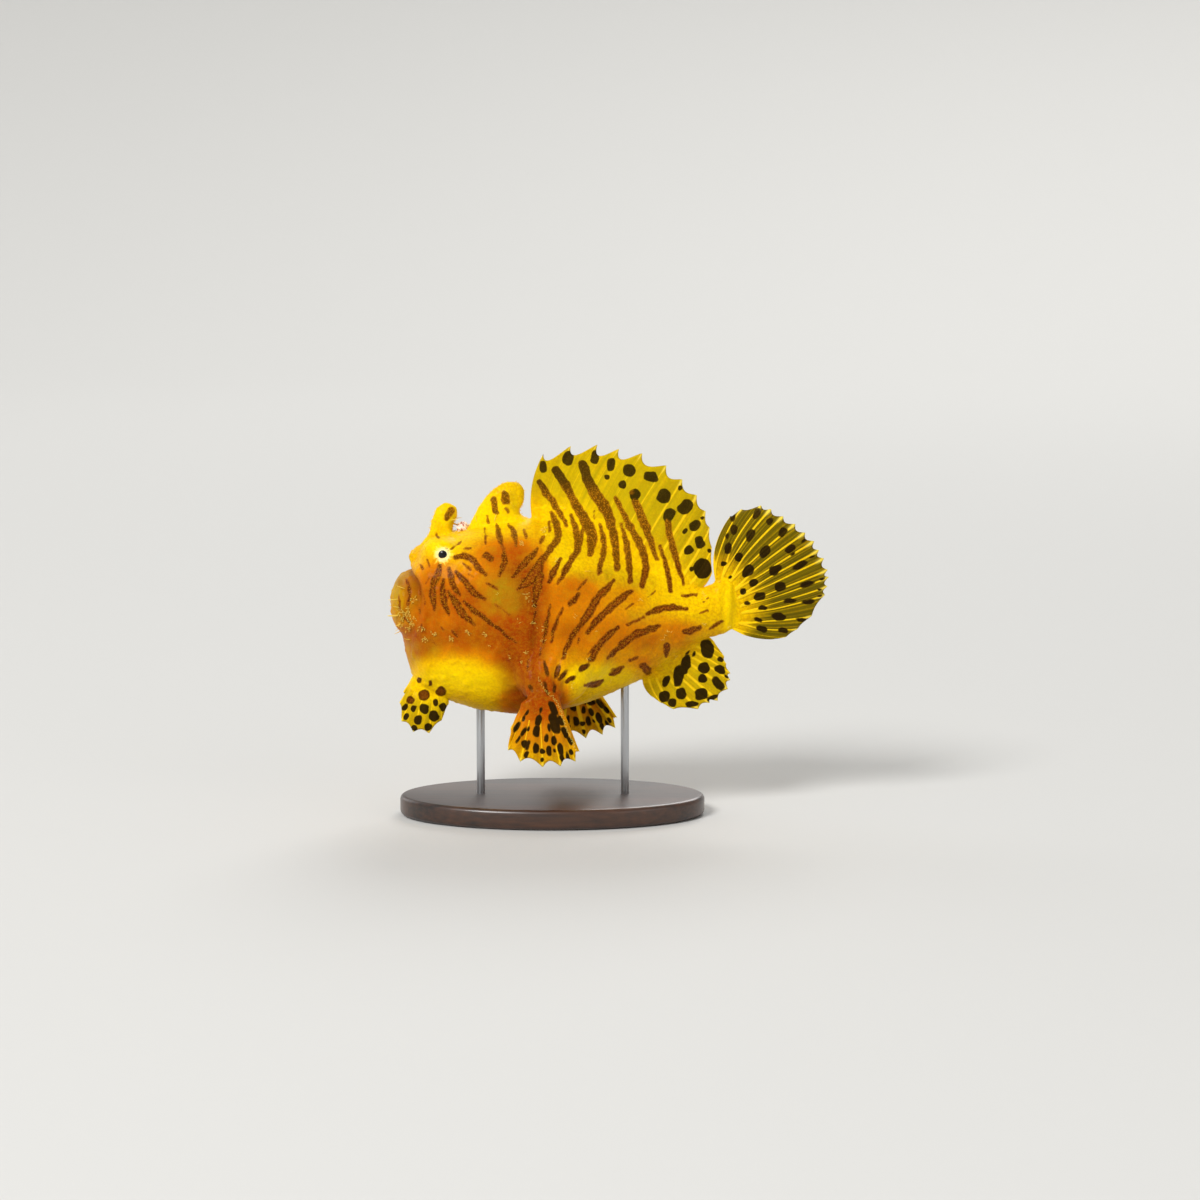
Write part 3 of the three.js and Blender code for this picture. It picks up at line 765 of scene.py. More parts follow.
STRIPES = [
    # round the eye
    (3.5, (440, 565), (438, 575), (434.5, 581), (432.5, 590), (433.5, 601), (434.5, 610)),
    (3.2, (443, 580), (443, 592), (444.5, 603), (449, 615)),
    (3.1, (449, 567), (451, 578), (454, 587), (459.5, 595)),
    (3.7, (448.5, 592), (457, 605), (463, 614), (474.5, 625)),
    (3.5, (456, 572), (465.6, 582), (472, 591.5), (484.5, 599)),
    (2.9, (455, 557.5, 0.7), (465, 556), (473, 560), (478, 567), (486, 575.5)),
    (2.2, (463.5, 563.5), (470, 570)),
    (1.7, (468, 574), (473, 577.5)),
    (1.9, (487, 583), (492, 586), (498, 589.5)),
    (2.9, (464, 602), (472, 609), (480, 615), (492, 624, 0.75), (502, 632, 0.7), (515, 642)),
    (1.5, (451, 549.5), (461, 541)),
    (2.1, (427, 559), (429, 566)),
    (1.9, (420.5, 564.5), (423, 569)),
    (1.3, (494, 604), (510, 615)),
    (1.6, (430, 577), (426, 585)),
    # faint blotches on jaw and cheek
    (1.7, (407, 580), (409.5, 594), (408, 606)),
    (1.4, (399, 596), (400, 610)),
    (1.9, (404, 617), (410, 623)),
    (1.4, (424, 594), (425, 604)),
    (1.8, (419, 608), (420, 614)),
    (1.7, (421, 624), (424, 630)),
    (2.3, (452, 631), (457, 636)),
    (1.8, (441, 627), (444, 631)),
    (1.6, (431, 640), (436, 645)),
    (1.5, (420, 590), (421, 597)),
    (1.7, (464, 549), (471, 548)),
    # second and third back spines
    (4.4, (450.5, 511, 0.8), (446, 519)),
    (2.4, (436, 533), (438, 538)),
    (4.6, (505, 494.5, 0.8), (506, 500.5, 0.9)),
    (3.7, (493.5, 500, 0.8), (496, 512, 0.8)),
    (2.8, (506.5, 508.5), (508, 513)),
    (2.2, (486.5, 516), (489, 523)),
    # neck and shoulder
    (2.1, (485, 529), (486, 544)),
    (2.6, (496.5, 524), (499, 535), (502.5, 548)),
    (2.8, (509, 525), (514, 534), (515.6, 545)),
    (2.5, (524.5, 530), (525.5, 538)),
    (4.4, (485.5, 555, 0.8), (490.5, 558.5, 0.8)),
    (3.1, (504, 549), (504.5, 560), (503, 566), (500, 576)),
    (1.9, (543, 537.5, 0.8), (541, 543.5, 0.8)),
    (3.5, (537, 549), (526, 562), (519, 570, 0.8), (513.5, 576.5)),
    (
        3.2, (551, 512), (556, 524), (558, 538), (550, 550), (541, 562, 1.2), (536, 572, 1.8),
        (526, 583, 1.5), (518, 589),
    ),
    (4.2, (540, 576, 1), (537, 590), (535, 606)),
    (2.6, (536, 611), (533, 625)),
    (3.3, (561, 559), (554, 571), (549, 582)),
    (3.0, (570.5, 515), (576, 530), (577.5, 548), (569, 564), (558, 584)),
    (2.0, (550, 522), (549, 532)),
    # dorsal fin and back
    (3.6, (539.5, 482, 0.8), (547, 494), (556, 507, 0.8), (566, 525)),
    (
        4.6, (555.5, 470, 0.9), (566, 486), (575, 503, 0.8), (584, 519, 1.1), (592, 536, 1.15),
        (590.5, 553, 0.7),
    ),
    (5.2, (583, 465, 0.9), (589, 483), (600, 501, 1.1), (608, 514, 1), (614, 536, 0.75), (617.5, 568, 0.6)),
    (2.7, (600, 525), (604, 546, 1.1), (599, 573, 0.8)),
    (3.3, (615.5, 498, 0.6), (629, 524, 0.9), (641, 547, 1.1), (645.8, 565, 1.15), (642, 586, 0.8)),
    (3.0, (621, 524), (627.5, 550), (630.5, 582, 0.9)),
    (3.7, (632.5, 493, 0.8), (639, 511), (647, 531, 1.05), (657, 560)),
    (2.7, (660, 546), (667.5, 571), (670.5, 591, 0.8)),
    (3.1, (667, 519, 0.9), (670.5, 539), (676, 559), (683.5, 584)),
    (2.3, (583, 527), (579.5, 545), (571, 565)),
    (1.3, (594, 511), (594.5, 519)),
    # flank
    (
        3.6, (614, 580), (605, 590), (597, 599, 1.1), (590, 611, 1.1), (582, 623, 0.9), (571, 638, 0.8),
        (563, 658, 0.6),
    ),
    (3.7, (632, 591), (621, 599), (610, 608, 1.05), (597, 621, 0.85), (587, 633)),
    (2.9, (586, 580), (578.5, 589)),
    (2.7, (578, 594.5, 0.7), (574, 600), (570.5, 604.5, 0.7)),
    (1.9, (579, 639), (577.5, 644)),
    (3.7, (617.5, 627), (603, 641), (591, 659, 0.8)),
    (3.7, (659, 626), (646, 631, 0.9), (636, 634.5, 1.1), (621, 646, 0.85), (608, 658)),
    (3.3, (687.5, 609), (670, 607.5), (657, 610), (647, 614)),
    (2.4, (644, 617.5), (627, 625)),
    (1.5, (633, 603.5), (626, 609)),
    (1.5, (655, 592), (647.5, 597)),
    (2.8, (697.5, 594.5), (682, 596)),
    (3.7, (685, 632, 0.7), (692, 630.5), (700, 627.5, 0.5)),
    (3.0, (722, 621.5), (710, 628.5)),
    (3.8, (667, 646, 0.8), (666, 656)),
    (5.0, (643.5, 666.5, 0.8), (647.5, 670.5, 0.8)),
    (2.8, (637, 657.5), (630, 660.5)),
    (3.2, (622, 668), (616, 671.5), (610, 674.5)),
    (3.2, (603, 681), (595, 684), (584.5, 685.5)),
    (2.6, (597, 645), (587.5, 654)),
    (2.0, (550.5, 605), (546, 626), (543, 648)),
    (2.0, (562.5, 608), (554, 629), (551.5, 642)),
    (2.6, (541.5, 646), (539.5, 655)),
    (2.3, (528.5, 660), (527, 672)),
    (1.6, (531, 685), (532, 691)),
    (1.6, (699, 613.5), (708, 610.5)),
    (1.4, (702, 601.5), (709, 598.5)),
]

SPOTS = [  # the point that their lengths run from, then x, y, half length and half width of each
    # margin of the back fin
    ((560, 620), (543, 468, 5.4, 3.8), (568, 459, 6.2, 5.2)),
    (
        (590, 620), (595, 457.5, 6.4, 3.6), (611, 464.5, 6, 4.2), (629, 470.5, 6, 6),
        (622.5, 484.5, 4, 3.6), (607, 477, 2.4, 2.4), (635, 495, 5.6, 4.6),
    ),
    ((600, 620), (651, 477, 5, 7)),
    ((600, 600), (664, 496, 7, 6.4), (680, 488, 2.6, 2.2)),
    (
        (600, 590), (685.5, 507, 8, 5.6), (700, 542.5, 4.8, 6), (709.5, 551.5, 2, 2.2),
        (702.5, 568.5, 8, 9.4), (695, 526, 5.6, 4.2), (702.5, 518.5, 2, 1.8),
    ),
    ((620, 600), (669, 515, 7, 5)),
    ((620, 590), (685, 531, 2.6, 2.2), (689, 550, 4.6, 4), (692, 569, 3, 2.4)),
    # tail fin
    (
        (718, 606), (733, 518, 4, 2), (756.5, 514, 5.5, 3), (770, 521, 3.6, 2.6), (734, 529.5, 4.6, 3.4),
        (750.5, 535, 6, 3.6), (728, 548.5, 5.4, 3.2), (783, 532, 5.4, 3.2), (803.5, 541.5, 2.8, 1.6),
        (739, 557.5, 4.6, 3.6), (765, 551.5, 6.6, 4), (790, 549, 5.6, 3.4), (812, 556.5, 3, 1.3),
        (724, 563.5, 2.6, 2.2), (748, 571, 6.4, 4.6), (775, 570, 6.4, 3.8), (800, 565.5, 7.4, 2.8),
        (753.5, 583, 4.4, 3), (743, 591.5, 3, 2.4), (780, 587, 5.6, 4.4), (807, 584, 7.4, 2.5),
        (822, 578.6, 2.6, 1.2), (759.5, 596.5, 5.6, 4), (819.7, 590, 2.2, 1.2), (747.5, 603.5, 3, 1.8),
        (790, 601, 6.4, 2.2), (808.5, 602.5, 6.4, 2.5), (820, 597, 2, 1.2), (762.5, 608, 4, 2.1),
        (779, 617, 6.8, 3.6), (758, 620, 4.2, 2), (802, 621, 5, 1.8), (793, 554, 2.4, 1.2),
        (730, 577, 2, 1.6), (727, 536, 2.6, 1.4),
    ),
    ((718, 616), (761.5, 629, 5.4, 2.8), (784, 631, 5.2, 2.6)),
    # anal fin
    ((680, 640), (666, 681.5, 6, 2.8)),
    ((684, 640), (679, 675.5, 10, 5)),
    ((692, 640), (686, 664, 9, 4.4)),
    ((700, 640), (693.8, 654, 3, 1.3), (687.5, 653, 3, 1.2)),
    ((700, 620), (707.3, 649, 9, 6)),
    ((690, 640), (703.5, 668, 5.4, 5.4)),
    ((690, 645), (720, 670, 5.2, 3.6), (702.4, 679, 4, 4.2)),
    ((690, 650), (718, 683.5, 7.6, 4), (701.4, 694, 5.4, 6), (713, 698, 2.6, 5.4)),
    ((684, 650), (681, 694, 5.6, 4.8)),
    ((680, 650), (664.2, 696.3, 5, 4.8), (672, 703, 3.6, 4)),
    ((688, 650), (691.7, 704, 3, 6)),
    ((695, 650), (721, 659.5, 3, 2.6), (727, 677.5, 2.6, 1.2)),
    # pectoral fin
    (
        (545, 690), (523.5, 719, 2.8, 1.4), (517, 727, 4.8, 2.2), (523.5, 732, 4.6, 1.8),
        (528, 729, 2.4, 1.4), (518.5, 739, 4, 1.4), (524, 744, 3, 2.6), (528, 745, 4, 1.5),
        (553, 708, 6.6, 3), (541, 711, 3, 1),
    ),
    ((550, 690), (538.5, 720.5, 4.8, 3)),
    (
        (545, 700), (536.5, 731.5, 5.2, 3.2), (536, 748, 4.8, 2.6), (542.5, 751.3, 2.4, 2.6),
        (546, 738.5, 3.4, 1.7), (549, 728, 3.4, 1.6), (542, 760, 2, 1.6),
    ),
    ((550, 700), (549, 751, 4.4, 2.2), (565, 733, 5.2, 2.3), (570, 741, 3.6, 2), (555, 750.5, 1.8, 1.2)),
    ((548, 700), (554, 740, 3.8, 2.2)),
    ((545, 696), (554.5, 723.5, 9, 4.2), (560.5, 721, 5, 2.2)),
    ((552, 700), (560.5, 749, 5.4, 2.4), (562, 758, 3.2, 2)),
    ((555, 700), (568, 756.5, 4, 1.5), (571, 752, 2.4, 1.4)),
    ((540, 700), (526.5, 754.5, 3, 2)),
    ((540, 680), (527, 713, 2.6, 1.3)),
    # pelvic fin
    (
        (425, 680), (424, 695.5, 5, 5), (410.5, 700, 4, 3.4), (405, 707, 3.6, 2), (413.5, 708.5, 3.2, 2.6),
        (424, 709, 4.6, 4.4), (406.5, 716.5, 3.4, 2.6), (418, 720.5, 4.6, 4), (434, 716, 5, 4.4),
        (414, 728, 2.6, 3), (428, 727, 3.6, 3.4),
    ),
    ((430, 680), (441, 692, 4.6, 4.4), (443, 707, 3.8, 3.2), (435.5, 703, 3, 2.6)),
    ((425, 660), (419, 680, 2.4, 2.2), (430.5, 683, 2.4, 2)),
]
ARM_MARKS = [
    # marks that fan out over the pectoral arm
    ((553, 700), (546, 669, 7, 1.9), (554, 688.5, 4.4, 1.7)),
    ((553, 690), (557.5, 671.5, 7, 2.4), (584, 667.5, 5.6, 2.6)),
    ((552, 690), (562.5, 676, 6, 2)),
    ((552, 692), (569.5, 680, 5.2, 2.2)),
    ((550, 700), (546, 688, 7, 1.6)),
    ((536, 700), (531, 688, 3.6, 1.7)),
]
SPOT_SQUARE = 2.4  # 2 would make every spot an ellipse, and more makes them squarer
SPOT_SIZE, HAND_SPOT_SIZE = 1.08, 1.2  # how far a spot's soft edge reaches, of its half sizes
BROWN_SPOT_BLACKNESS = 0.45  # marks on arm and throat are browner than the spots on the fins


def marks_at(points):
    """Distance outside the nearest dark mark in mm, below 0 inside it, and that mark's blackness, 0 to 1."""
    place = on_drawing(points)
    # real marks are never even: their outlines wander by up to about 0.2 mm over 2 mm
    flat = points * (1, 0, 1)
    place += 1.3 * np.stack([roughness_of(flat, 2, seed) for seed in (7, 31)], 1)
    depth = np.full(len(place), 10.0)
    for width, *path in STRIPES:
        away = near_stroke(place, path, width)
        closer = away < depth
        depth[closer] = away[closer]
    # a stripe blackens where it runs out on to the top of the back fin
    black = 0.8 * smooth_step(500, 474, place[:, 1])
    spots = [(hinge, spot) for hinge, *group in SPOTS + ARM_MARKS for spot in group]
    for (hinge_x, hinge_y), (x, y, half_length, half_width) in spots:
        turned = math.atan2(y - hinge_y, x - hinge_x)
        on_arm_or_throat = 500 <= y <= 700 and x <= 600
        on_hand = y > 700 and 505 < x < 585
        dx, dy = place[:, 0] - x, place[:, 1] - y
        along = (dx * math.cos(turned) + dy * math.sin(turned)) / half_length
        across = (-dx * math.sin(turned) + dy * math.cos(turned)) / half_width
        level = (np.abs(along) ** SPOT_SQUARE + np.abs(across) ** SPOT_SQUARE) ** (1 / SPOT_SQUARE)
        away = (level - (HAND_SPOT_SIZE if on_hand else SPOT_SIZE)) * min(half_length, half_width)
        closer = away < depth
        depth[closer] = away[closer]
        black[closer] = BROWN_SPOT_BLACKNESS if on_arm_or_throat else 1
    return depth * DRAWING_STEP, black


# Soft patches of colour on the side drawing, some of them partly painted light and shade: x, y, half length,
# half height, strength
# where the orange patches are strongest, behind the arm, they turn to the darkest orange, which is partly
# painted shade
ORANGE = [
    (468, 628, 74, 36, 0.85), (528, 640, 26, 84, 1.0), (505, 600, 40, 44, 0.6), (590, 630, 52, 34, 0.6),
    (655, 636, 44, 20, 0.5), (428, 592, 26, 34, 0.6), (503, 556, 34, 15, 0.7), (530, 572, 20, 22, 0.85),
    (420, 650, 20, 24, 0.9), (528, 694, 28, 24, 0.95), (458, 584, 40, 26, 0.6), (547, 708, 18, 22, 0.6),
    (551, 688, 20, 28, 0.85), (545, 732, 34, 24, 0.5), (401, 604, 14, 30, 0.45), (625, 598, 34, 14, 0.35),
    (600, 552, 12, 24, 0.3), (537, 506, 5, 28, 0.4), (574, 592, 28, 18, 0.65), (645, 566, 8, 26, 0.25),
    (497, 545, 26, 10, 0.4), (620, 664, 40, 16, 0.3), (690, 628, 24, 8, 0.3), (640, 668, 16, 12, 0.45),
    (512, 662, 24, 30, 0.8),
]
# Bright yellow patches: mostly the fish's own yellow, but the patches on the lower flank and on the front of
# the jaw are painted light that lifts places lying in shade
BRIGHT_YELLOW_AND_LIGHT = [
    (397, 594, 8, 26, 0.6), (448, 673, 50, 17, 0.95), (484, 682, 36, 14, 0.8), (610, 500, 80, 50, 0.8),
    (480, 512, 60, 22, 0.9), (729, 606, 8, 30, 1.1), (442, 546, 19, 12, 0.9), (600, 560, 60, 14, 0.5),
    (680, 600, 40, 12, 0.4), (600, 676, 44, 14, 1.0), (470, 520, 60, 16, 0.5), (660, 575, 30, 20, 0.6),
    (560, 540, 12, 30, 0.5), (430, 700, 20, 12, 0.6),
]
MOSSY = [
    (402, 598, 15, 30, 0.6), (505, 592, 26, 22, 0.8), (428, 644, 22, 12, 0.4), (600, 576, 30, 8, 0.45),
    (640, 618, 14, 8, 0.35), (660, 500, 50, 46, 0.3), (690, 680, 40, 40, 0.35), (640, 584, 20, 8, 0.35),
    (410, 655, 9, 20, 0.45), (516, 604, 14, 8, 0.4), (452, 520, 4, 12, 0.6), (512, 502, 6, 12, 0.5),
]
# Dark red-brown patches: painted shade in the hollow behind the arm, and elsewhere the fish's own red-brown
# mottling
RED_BROWN_AND_SHADE = [
    (531, 590, 16, 24, 1.0), (534, 635, 13, 36, 0.9), (517, 662, 19, 38, 0.85), (478, 636, 46, 15, 0.75),
    (516, 570, 16, 10, 0.75), (552, 694, 13, 18, 0.5), (535, 694, 12, 22, 0.8), (404, 614, 9, 8, 0.45),
    (412, 634, 15, 9, 0.6), (571, 640, 18, 24, 0.5), (645, 642, 30, 10, 0.45), (400, 582, 5, 6, 0.5),
    (470, 597, 14, 9, 0.45), (432, 600, 14, 24, 0.4), (410, 590, 5, 9, 0.5),
]


def patch(points, blobs):
    place = on_drawing(points)
    clear = np.ones(len(place))
    for x, y, wide, tall, strength in blobs:
        away = ((place[:, 0] - x) / wide) ** 2 + ((place[:, 1] - y) / tall) ** 2
        clear *= 1 - np.clip(strength, 0, 1) * np.exp(-(away**1.5))
    return 1 - clear


def add_markings(piece, points):
    mark, black = marks_at(points)
    across, down = on_drawing(points).T
    add_values(
        piece,
        mark=np.clip(mark, -2, 2),
        black=black,
        orange=patch(points, ORANGE),
        sunny=patch(points, BRIGHT_YELLOW_AND_LIGHT),
        mossy=patch(points, MOSSY),
        rust=patch(points, RED_BROWN_AND_SHADE),
        gold=smooth_step(592, 548, down + 0.25 * np.abs(across - 610)),
    )


def pupil_star(tree, place):
    """How far a point is from the pupil's middle in mm, and whether it lies in the pale star round it."""
    near, turn = (
        add_node(tree, "ShaderNodeAttribute", attribute_name=value).outputs["Fac"]
        for value in ("near_pupil", "turn")
    )
    away = add_node(tree, "ShaderNodeMath", {0: 8.0, 1: near}, operation="SUBTRACT")
    uneven = add_node(
        tree, "ShaderNodeTexNoise", {"W": turn, "Scale": 3.4, "Detail": 3.0}, noise_dimensions="1D"
    )
    flecks = add_node(tree, "ShaderNodeTexNoise", {"Vector": place, "Scale": 1000 / 0.6, "Detail": 2.0})
    # about 24 points, of uneven width and length, 2.3 to 3.6 mm out, broken up by flecks
    drift = add_node(tree, "ShaderNodeMath", {0: uneven, 1: 3.4}, operation="MULTIPLY")
    count = add_node(tree, "ShaderNodeMath", {0: turn, 1: 3.6, 2: drift}, operation="MULTIPLY_ADD")
    comb = add_node(tree, "ShaderNodeMath", {0: count, 1: 0.5}, operation="PINGPONG")
    uneven_length = add_node(tree, "ShaderNodeMath", {0: uneven, 1: 4.8, 2: -0.96}, operation="MULTIPLY_ADD")
    inner = add_node(tree, "ShaderNodeMath", {0: flecks, 1: 2.6, 2: 0.9}, operation="MULTIPLY_ADD")
    edge = add_node(tree, "ShaderNodeMath", {0: comb, 1: uneven_length, 2: inner}, operation="MULTIPLY_ADD")
    outside = add_node(tree, "ShaderNodeMath", {0: away, 1: edge}, operation="SUBTRACT")
    star = add_node(
        tree, "ShaderNodeMapRange", {"Value": outside, "From Min": 0.5, "From Max": -0.4},
        interpolation_type="SMOOTHSTEP",
    )
    return away, star


def granular_hide(name, web=None):
    # Living hide, set all over with fine pale granules: matt, softly lit from within, with a thin wet shine
    material, tree = blank_material(name)
    place = add_node(tree, "ShaderNodeTexCoord").outputs["Object"]
    orange, sunny, mossy, rust, crease, mark, black, gold, pale = (
        add_node(tree, "ShaderNodeAttribute", attribute_name=value).outputs["Fac"]
        for value in ("orange", "sunny", "mossy", "rust", "crease", "mark", "black", "gold", "pale")
    )
    # noises with features from 9 mm down to 0.8 mm across
    broad, soft, blotchy, spotty, ragged, fine = (
        add_node(tree, "ShaderNodeTexNoise", {"Vector": place, "Scale": 1000 / size, "Detail": 3.0})
        for size in (9, 6, 3, 2.5, 1.5, 0.8)
    )
    # granules sit about 0.45 mm apart, each about 0.3 mm across
    granules = add_node(
        tree, "ShaderNodeTexVoronoi", {"Vector": place, "Scale": 1000 / 0.45, "Randomness": 0.7}
    )
    grain = add_node(tree, "ShaderNodeMath", {0: fine, 1: 0.5, 2: granules}, operation="MULTIPLY_ADD")
    warm = add_node(tree, "ShaderNodeMath", {0: broad, 1: 0.7, 2: orange}, operation="MULTIPLY_ADD")
    # the bright yellow cover is partly the fish's own yellow and partly painted light on shaded places
    lit = add_node(tree, "ShaderNodeMath", {0: soft, 1: 0.7, 2: sunny}, operation="MULTIPLY_ADD")
    mossed = add_node(tree, "ShaderNodeMath", {0: blotchy, 1: 0.9, 2: mossy}, operation="MULTIPLY_ADD")
    patchy = add_node(tree, "ShaderNodeMath", {0: spotty, 1: 1.6, 2: 0.1}, operation="MULTIPLY_ADD")
    rusty = add_node(tree, "ShaderNodeMath", {0: rust, 1: patchy}, operation="MULTIPLY", use_clamp=True)

    # a mark's edge wanders over the grain, less so where the mark is black
    wander = add_node(tree, "ShaderNodeMath", {0: black, 1: -0.55, 2: 0.95}, operation="MULTIPLY_ADD")
    raised = add_node(tree, "ShaderNodeMath", {0: ragged, 1: 0.5}, operation="SUBTRACT")
    edge = add_node(tree, "ShaderNodeMath", {0: raised, 1: wander, 2: mark}, operation="MULTIPLY_ADD")
    crisp = add_node(tree, "ShaderNodeMath", {0: black, 1: 1.2, 2: 1.0}, operation="MULTIPLY_ADD")
    edge = add_node(tree, "ShaderNodeMath", {0: edge, 1: crisp}, operation="MULTIPLY")
    away, star = pupil_star(tree, place)

    dots, golden, deep_orange_and_shade, mottle, rim, core, inside, by_pupil = (
        add_node(
            tree, "ShaderNodeMapRange", {"Value": value, "From Min": low, "From Max": high},
            interpolation_type="SMOOTHSTEP",
        )
        for value, low, high in (
            (grain, 0.81, 0.45), (warm, 0.35, 0.906), (warm, 0.85, 1.4), (fine, 0.66, 0.3),
            (edge, 0.3, -0.12), (edge, 0.1, -0.4), (edge, -0.35, -1.0), (away, 2.6, 1.8),
        )
    )
    golden.interpolation_type = "LINEAR"
    bright_yellow_and_light_cover, moss = (
        add_node(tree, "ShaderNodeMath", {0: value, 1: low}, operation="SUBTRACT", use_clamp=True)
        for value, low in ((lit, 0.4), (mossed, 0.45))
    )
    layers = [
        (golden, 1.0, colour("#D87C02")),
        # darkest orange: the fish's own deep orange, and painted shade behind the arm
        (deep_orange_and_shade, 1.0, colour("#A83E02")),
        # bright yellow, partly painted light on shaded places
        (bright_yellow_and_light_cover, 0.9, colour("#FFD800")),
        (moss, 0.8, colour("#98840E")),
        # dark red-brown: painted shade behind the arm, and the fish's own mottling elsewhere
        (rusty, 0.8, colour("#7E2602")),
        (mottle, add_node(tree, "ShaderNodeMath", {0: bright_yellow_and_light_cover, 1: -0.25, 2: 0.42}, operation="MULTIPLY_ADD"),
         colour("#AC6404")),
        (dots, 0.045, colour("#FFD83A")),
        # painted shade in the mouth groove and the fold bottoms
        (crease, 0.75, colour("#5E2604")),
    ]
    if web:
        layers += web_layers(tree, *web)

    # a brown mark is darkest just inside its edge; one on a fin is nearly black throughout
    brown = add_node(
        tree, "ShaderNodeMix", {0: inside, 6: colour("#4A1A02"), 7: colour("#7C3606")}, data_type="RGBA"
    )
    brown = add_node(tree, "ShaderNodeMix", {0: gold, 6: brown, 7: colour("#5E3A04")}, data_type="RGBA")
    blurred, dark, gilt = (
        add_node(tree, "ShaderNodeMix", {0: black, 6: on_body, 7: colour(on_fin)}, data_type="RGBA")
        for on_body, on_fin in (
            (colour("#84330A"), "#3C2A04"), (brown, "#120B04"), (colour("#C8820E"), "#5A4A10"),
        )
    )
    cream = add_node(
        tree, "ShaderNodeMix", {0: by_pupil, 6: colour("#FFE24A"), 7: colour("#FFF4B0")}, data_type="RGBA"
    )
    depth = add_node(tree, "ShaderNodeMath", {0: gold, 1: -0.1, 2: 0.93}, operation="MULTIPLY_ADD")
    shine = add_node(tree, "ShaderNodeMath", {0: gold, 1: 0.3, 2: 0.5}, operation="MULTIPLY_ADD")
    shine = add_node(tree, "ShaderNodeMath", {0: black, 1: -0.55, 2: shine}, operation="MULTIPLY_ADD")
    marked_dots = add_node(tree, "ShaderNodeMath", {0: dots, 1: rim}, operation="MULTIPLY")
    speckled = add_node(tree, "ShaderNodeMath", {0: fine, 1: 0.7, 2: 0.35}, operation="MULTIPLY_ADD")
    starred = add_node(tree, "ShaderNodeMath", {0: star, 1: speckled}, operation="MULTIPLY", use_clamp=True)
    layers += [
        (rim, 0.8, blurred), (core, depth, dark), (marked_dots, shine, gilt), (starred, 1.0, cream),
        (pale, 1.0, colour("#FFE468")),
    ]
    paint = colour("#F2C200")
    for cover, strength, tint in layers:
        amount = add_node(tree, "ShaderNodeMath", {0: cover, 1: strength}, operation="MULTIPLY")
        paint = add_node(tree, "ShaderNodeMix", {0: amount, 6: paint, 7: tint}, data_type="RGBA")

    bumps = add_node(tree, "ShaderNodeMath", {0: fine, 1: dots}, operation="ADD")
    height = add_node(tree, "ShaderNodeMath", {0: bumps, 1: 0.6}, operation="MULTIPLY")
    smoothed = add_node(tree, "ShaderNodeMath", {0: bright_yellow_and_light_cover, 1: -0.3, 2: 0.5}, operation="MULTIPLY_ADD")
    relief = add_node(tree, "ShaderNodeBump", {"Height": height, "Strength": smoothed, "Distance": 0.00013})
    damp = add_node(tree, "ShaderNodeMath", {0: broad, 1: 0.2, 2: 0.45}, operation="MULTIPLY_ADD")
    shader = add_node(
        tree, "ShaderNodeBsdfPrincipled",
        {
            "Base Color": paint,
            "Normal": relief,
            "Roughness": damp,
            "Specular IOR Level": 0.2,
            "Specular Tint": colour("#FFB83A"),
            "Subsurface Weight": 0.08,
            "Subsurface Radius": (1.0, 0.45, 0.05),
            "Subsurface Scale": 0.001,
            "Coat Weight": 0.02,
            "Coat Roughness": 0.16,
        },
    )
    add_node(tree, "ShaderNodeOutputMaterial", {"Surface": shader})
    return material


def add_eye_places(piece, points):
    """For points near an eye: 8 less the distance in mm from the line of sight, and the turn round it."""
    gaze = np.array(GAZE) / np.linalg.norm(GAZE)
    offset = np.stack([points[:, 0], np.abs(points[:, 1]), points[:, 2]], 1) - (EYE["x"], EYE["y"], EYE["z"])
    ahead = offset @ gaze
    sideways = offset - ahead[:, None] * gaze
    level = np.cross(gaze, (0, 0, 1))
    away = np.where(ahead > -1, np.linalg.norm(sideways, axis=1), 8)
    add_values(
        piece, near_pupil=np.maximum(8 - away, 0), turn=np.abs(np.arctan2(sideways[:, 2], sideways @ level))
    )


hide = granular_hide("granular_fish_hide")
skin.data.materials.append(hide)
add_markings(skin, from_far_arm(points_of(skin)))
add_eye_places(skin, points_of(skin))
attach(skin, "root")
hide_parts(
    "head", "lower_jaw", "trunk", "tail_stem", "second_dorsal_spine", "third_dorsal_spine",
    "pectoral_arm_left", "pectoral_arm_right",
)


# Fins: thin leathery webs stretched on tapering rays, ending in free pointed tips. Each is one closed sheet,
# thicker along every ray, that grows out of the fleshy root on the hide.

def web_layers(tree, tint, strength, ray_width):
    """Paint for a fin: thin webbing with strands along it, pale rays, and paler tips."""
    ray_gap, reach, strand = (
        add_node(tree, "ShaderNodeAttribute", attribute_name=value).outputs["Fac"]
        for value in ("ray", "reach", "strand")
    )
    ray, outer, at_rim, near_ray = (
        add_node(
            tree, "ShaderNodeMapRange", {"Value": value, "From Min": low, "From Max": high},
            interpolation_type="SMOOTHSTEP",
        )
        for value, low, high in (
            (ray_gap, ray_width, ray_width * 0.3), (reach, 0.16, 0.55),
            (reach, 0.9, 1.0), (ray_gap, 1.0, 0.3),
        )
    )
    strands = add_node(
        tree, "ShaderNodeTexNoise", {"W": strand, "Scale": 5.0, "Detail": 3.0}, noise_dimensions="1D"
    )
    between = add_node(tree, "ShaderNodeMath", {0: 1.0, 1: ray}, operation="SUBTRACT")
    webbing = add_node(tree, "ShaderNodeMath", {0: outer, 1: between}, operation="MULTIPLY")
    streaks = add_node(
        tree, "ShaderNodeMath", {0: strands, 1: 1.2 * strength, 2: 0.4 * strength}, operation="MULTIPLY_ADD"
    )
    thin = add_node(tree, "ShaderNodeMath", {0: webbing, 1: streaks}, operation="MULTIPLY", use_clamp=True)
    tip = add_node(tree, "ShaderNodeMath", {0: at_rim, 1: near_ray}, operation="MULTIPLY")
    return [(thin, 1.0, colour(tint)), (ray, 0.6, colour("#FFD61A")), (tip, 0.7, colour("#FFE766"))]


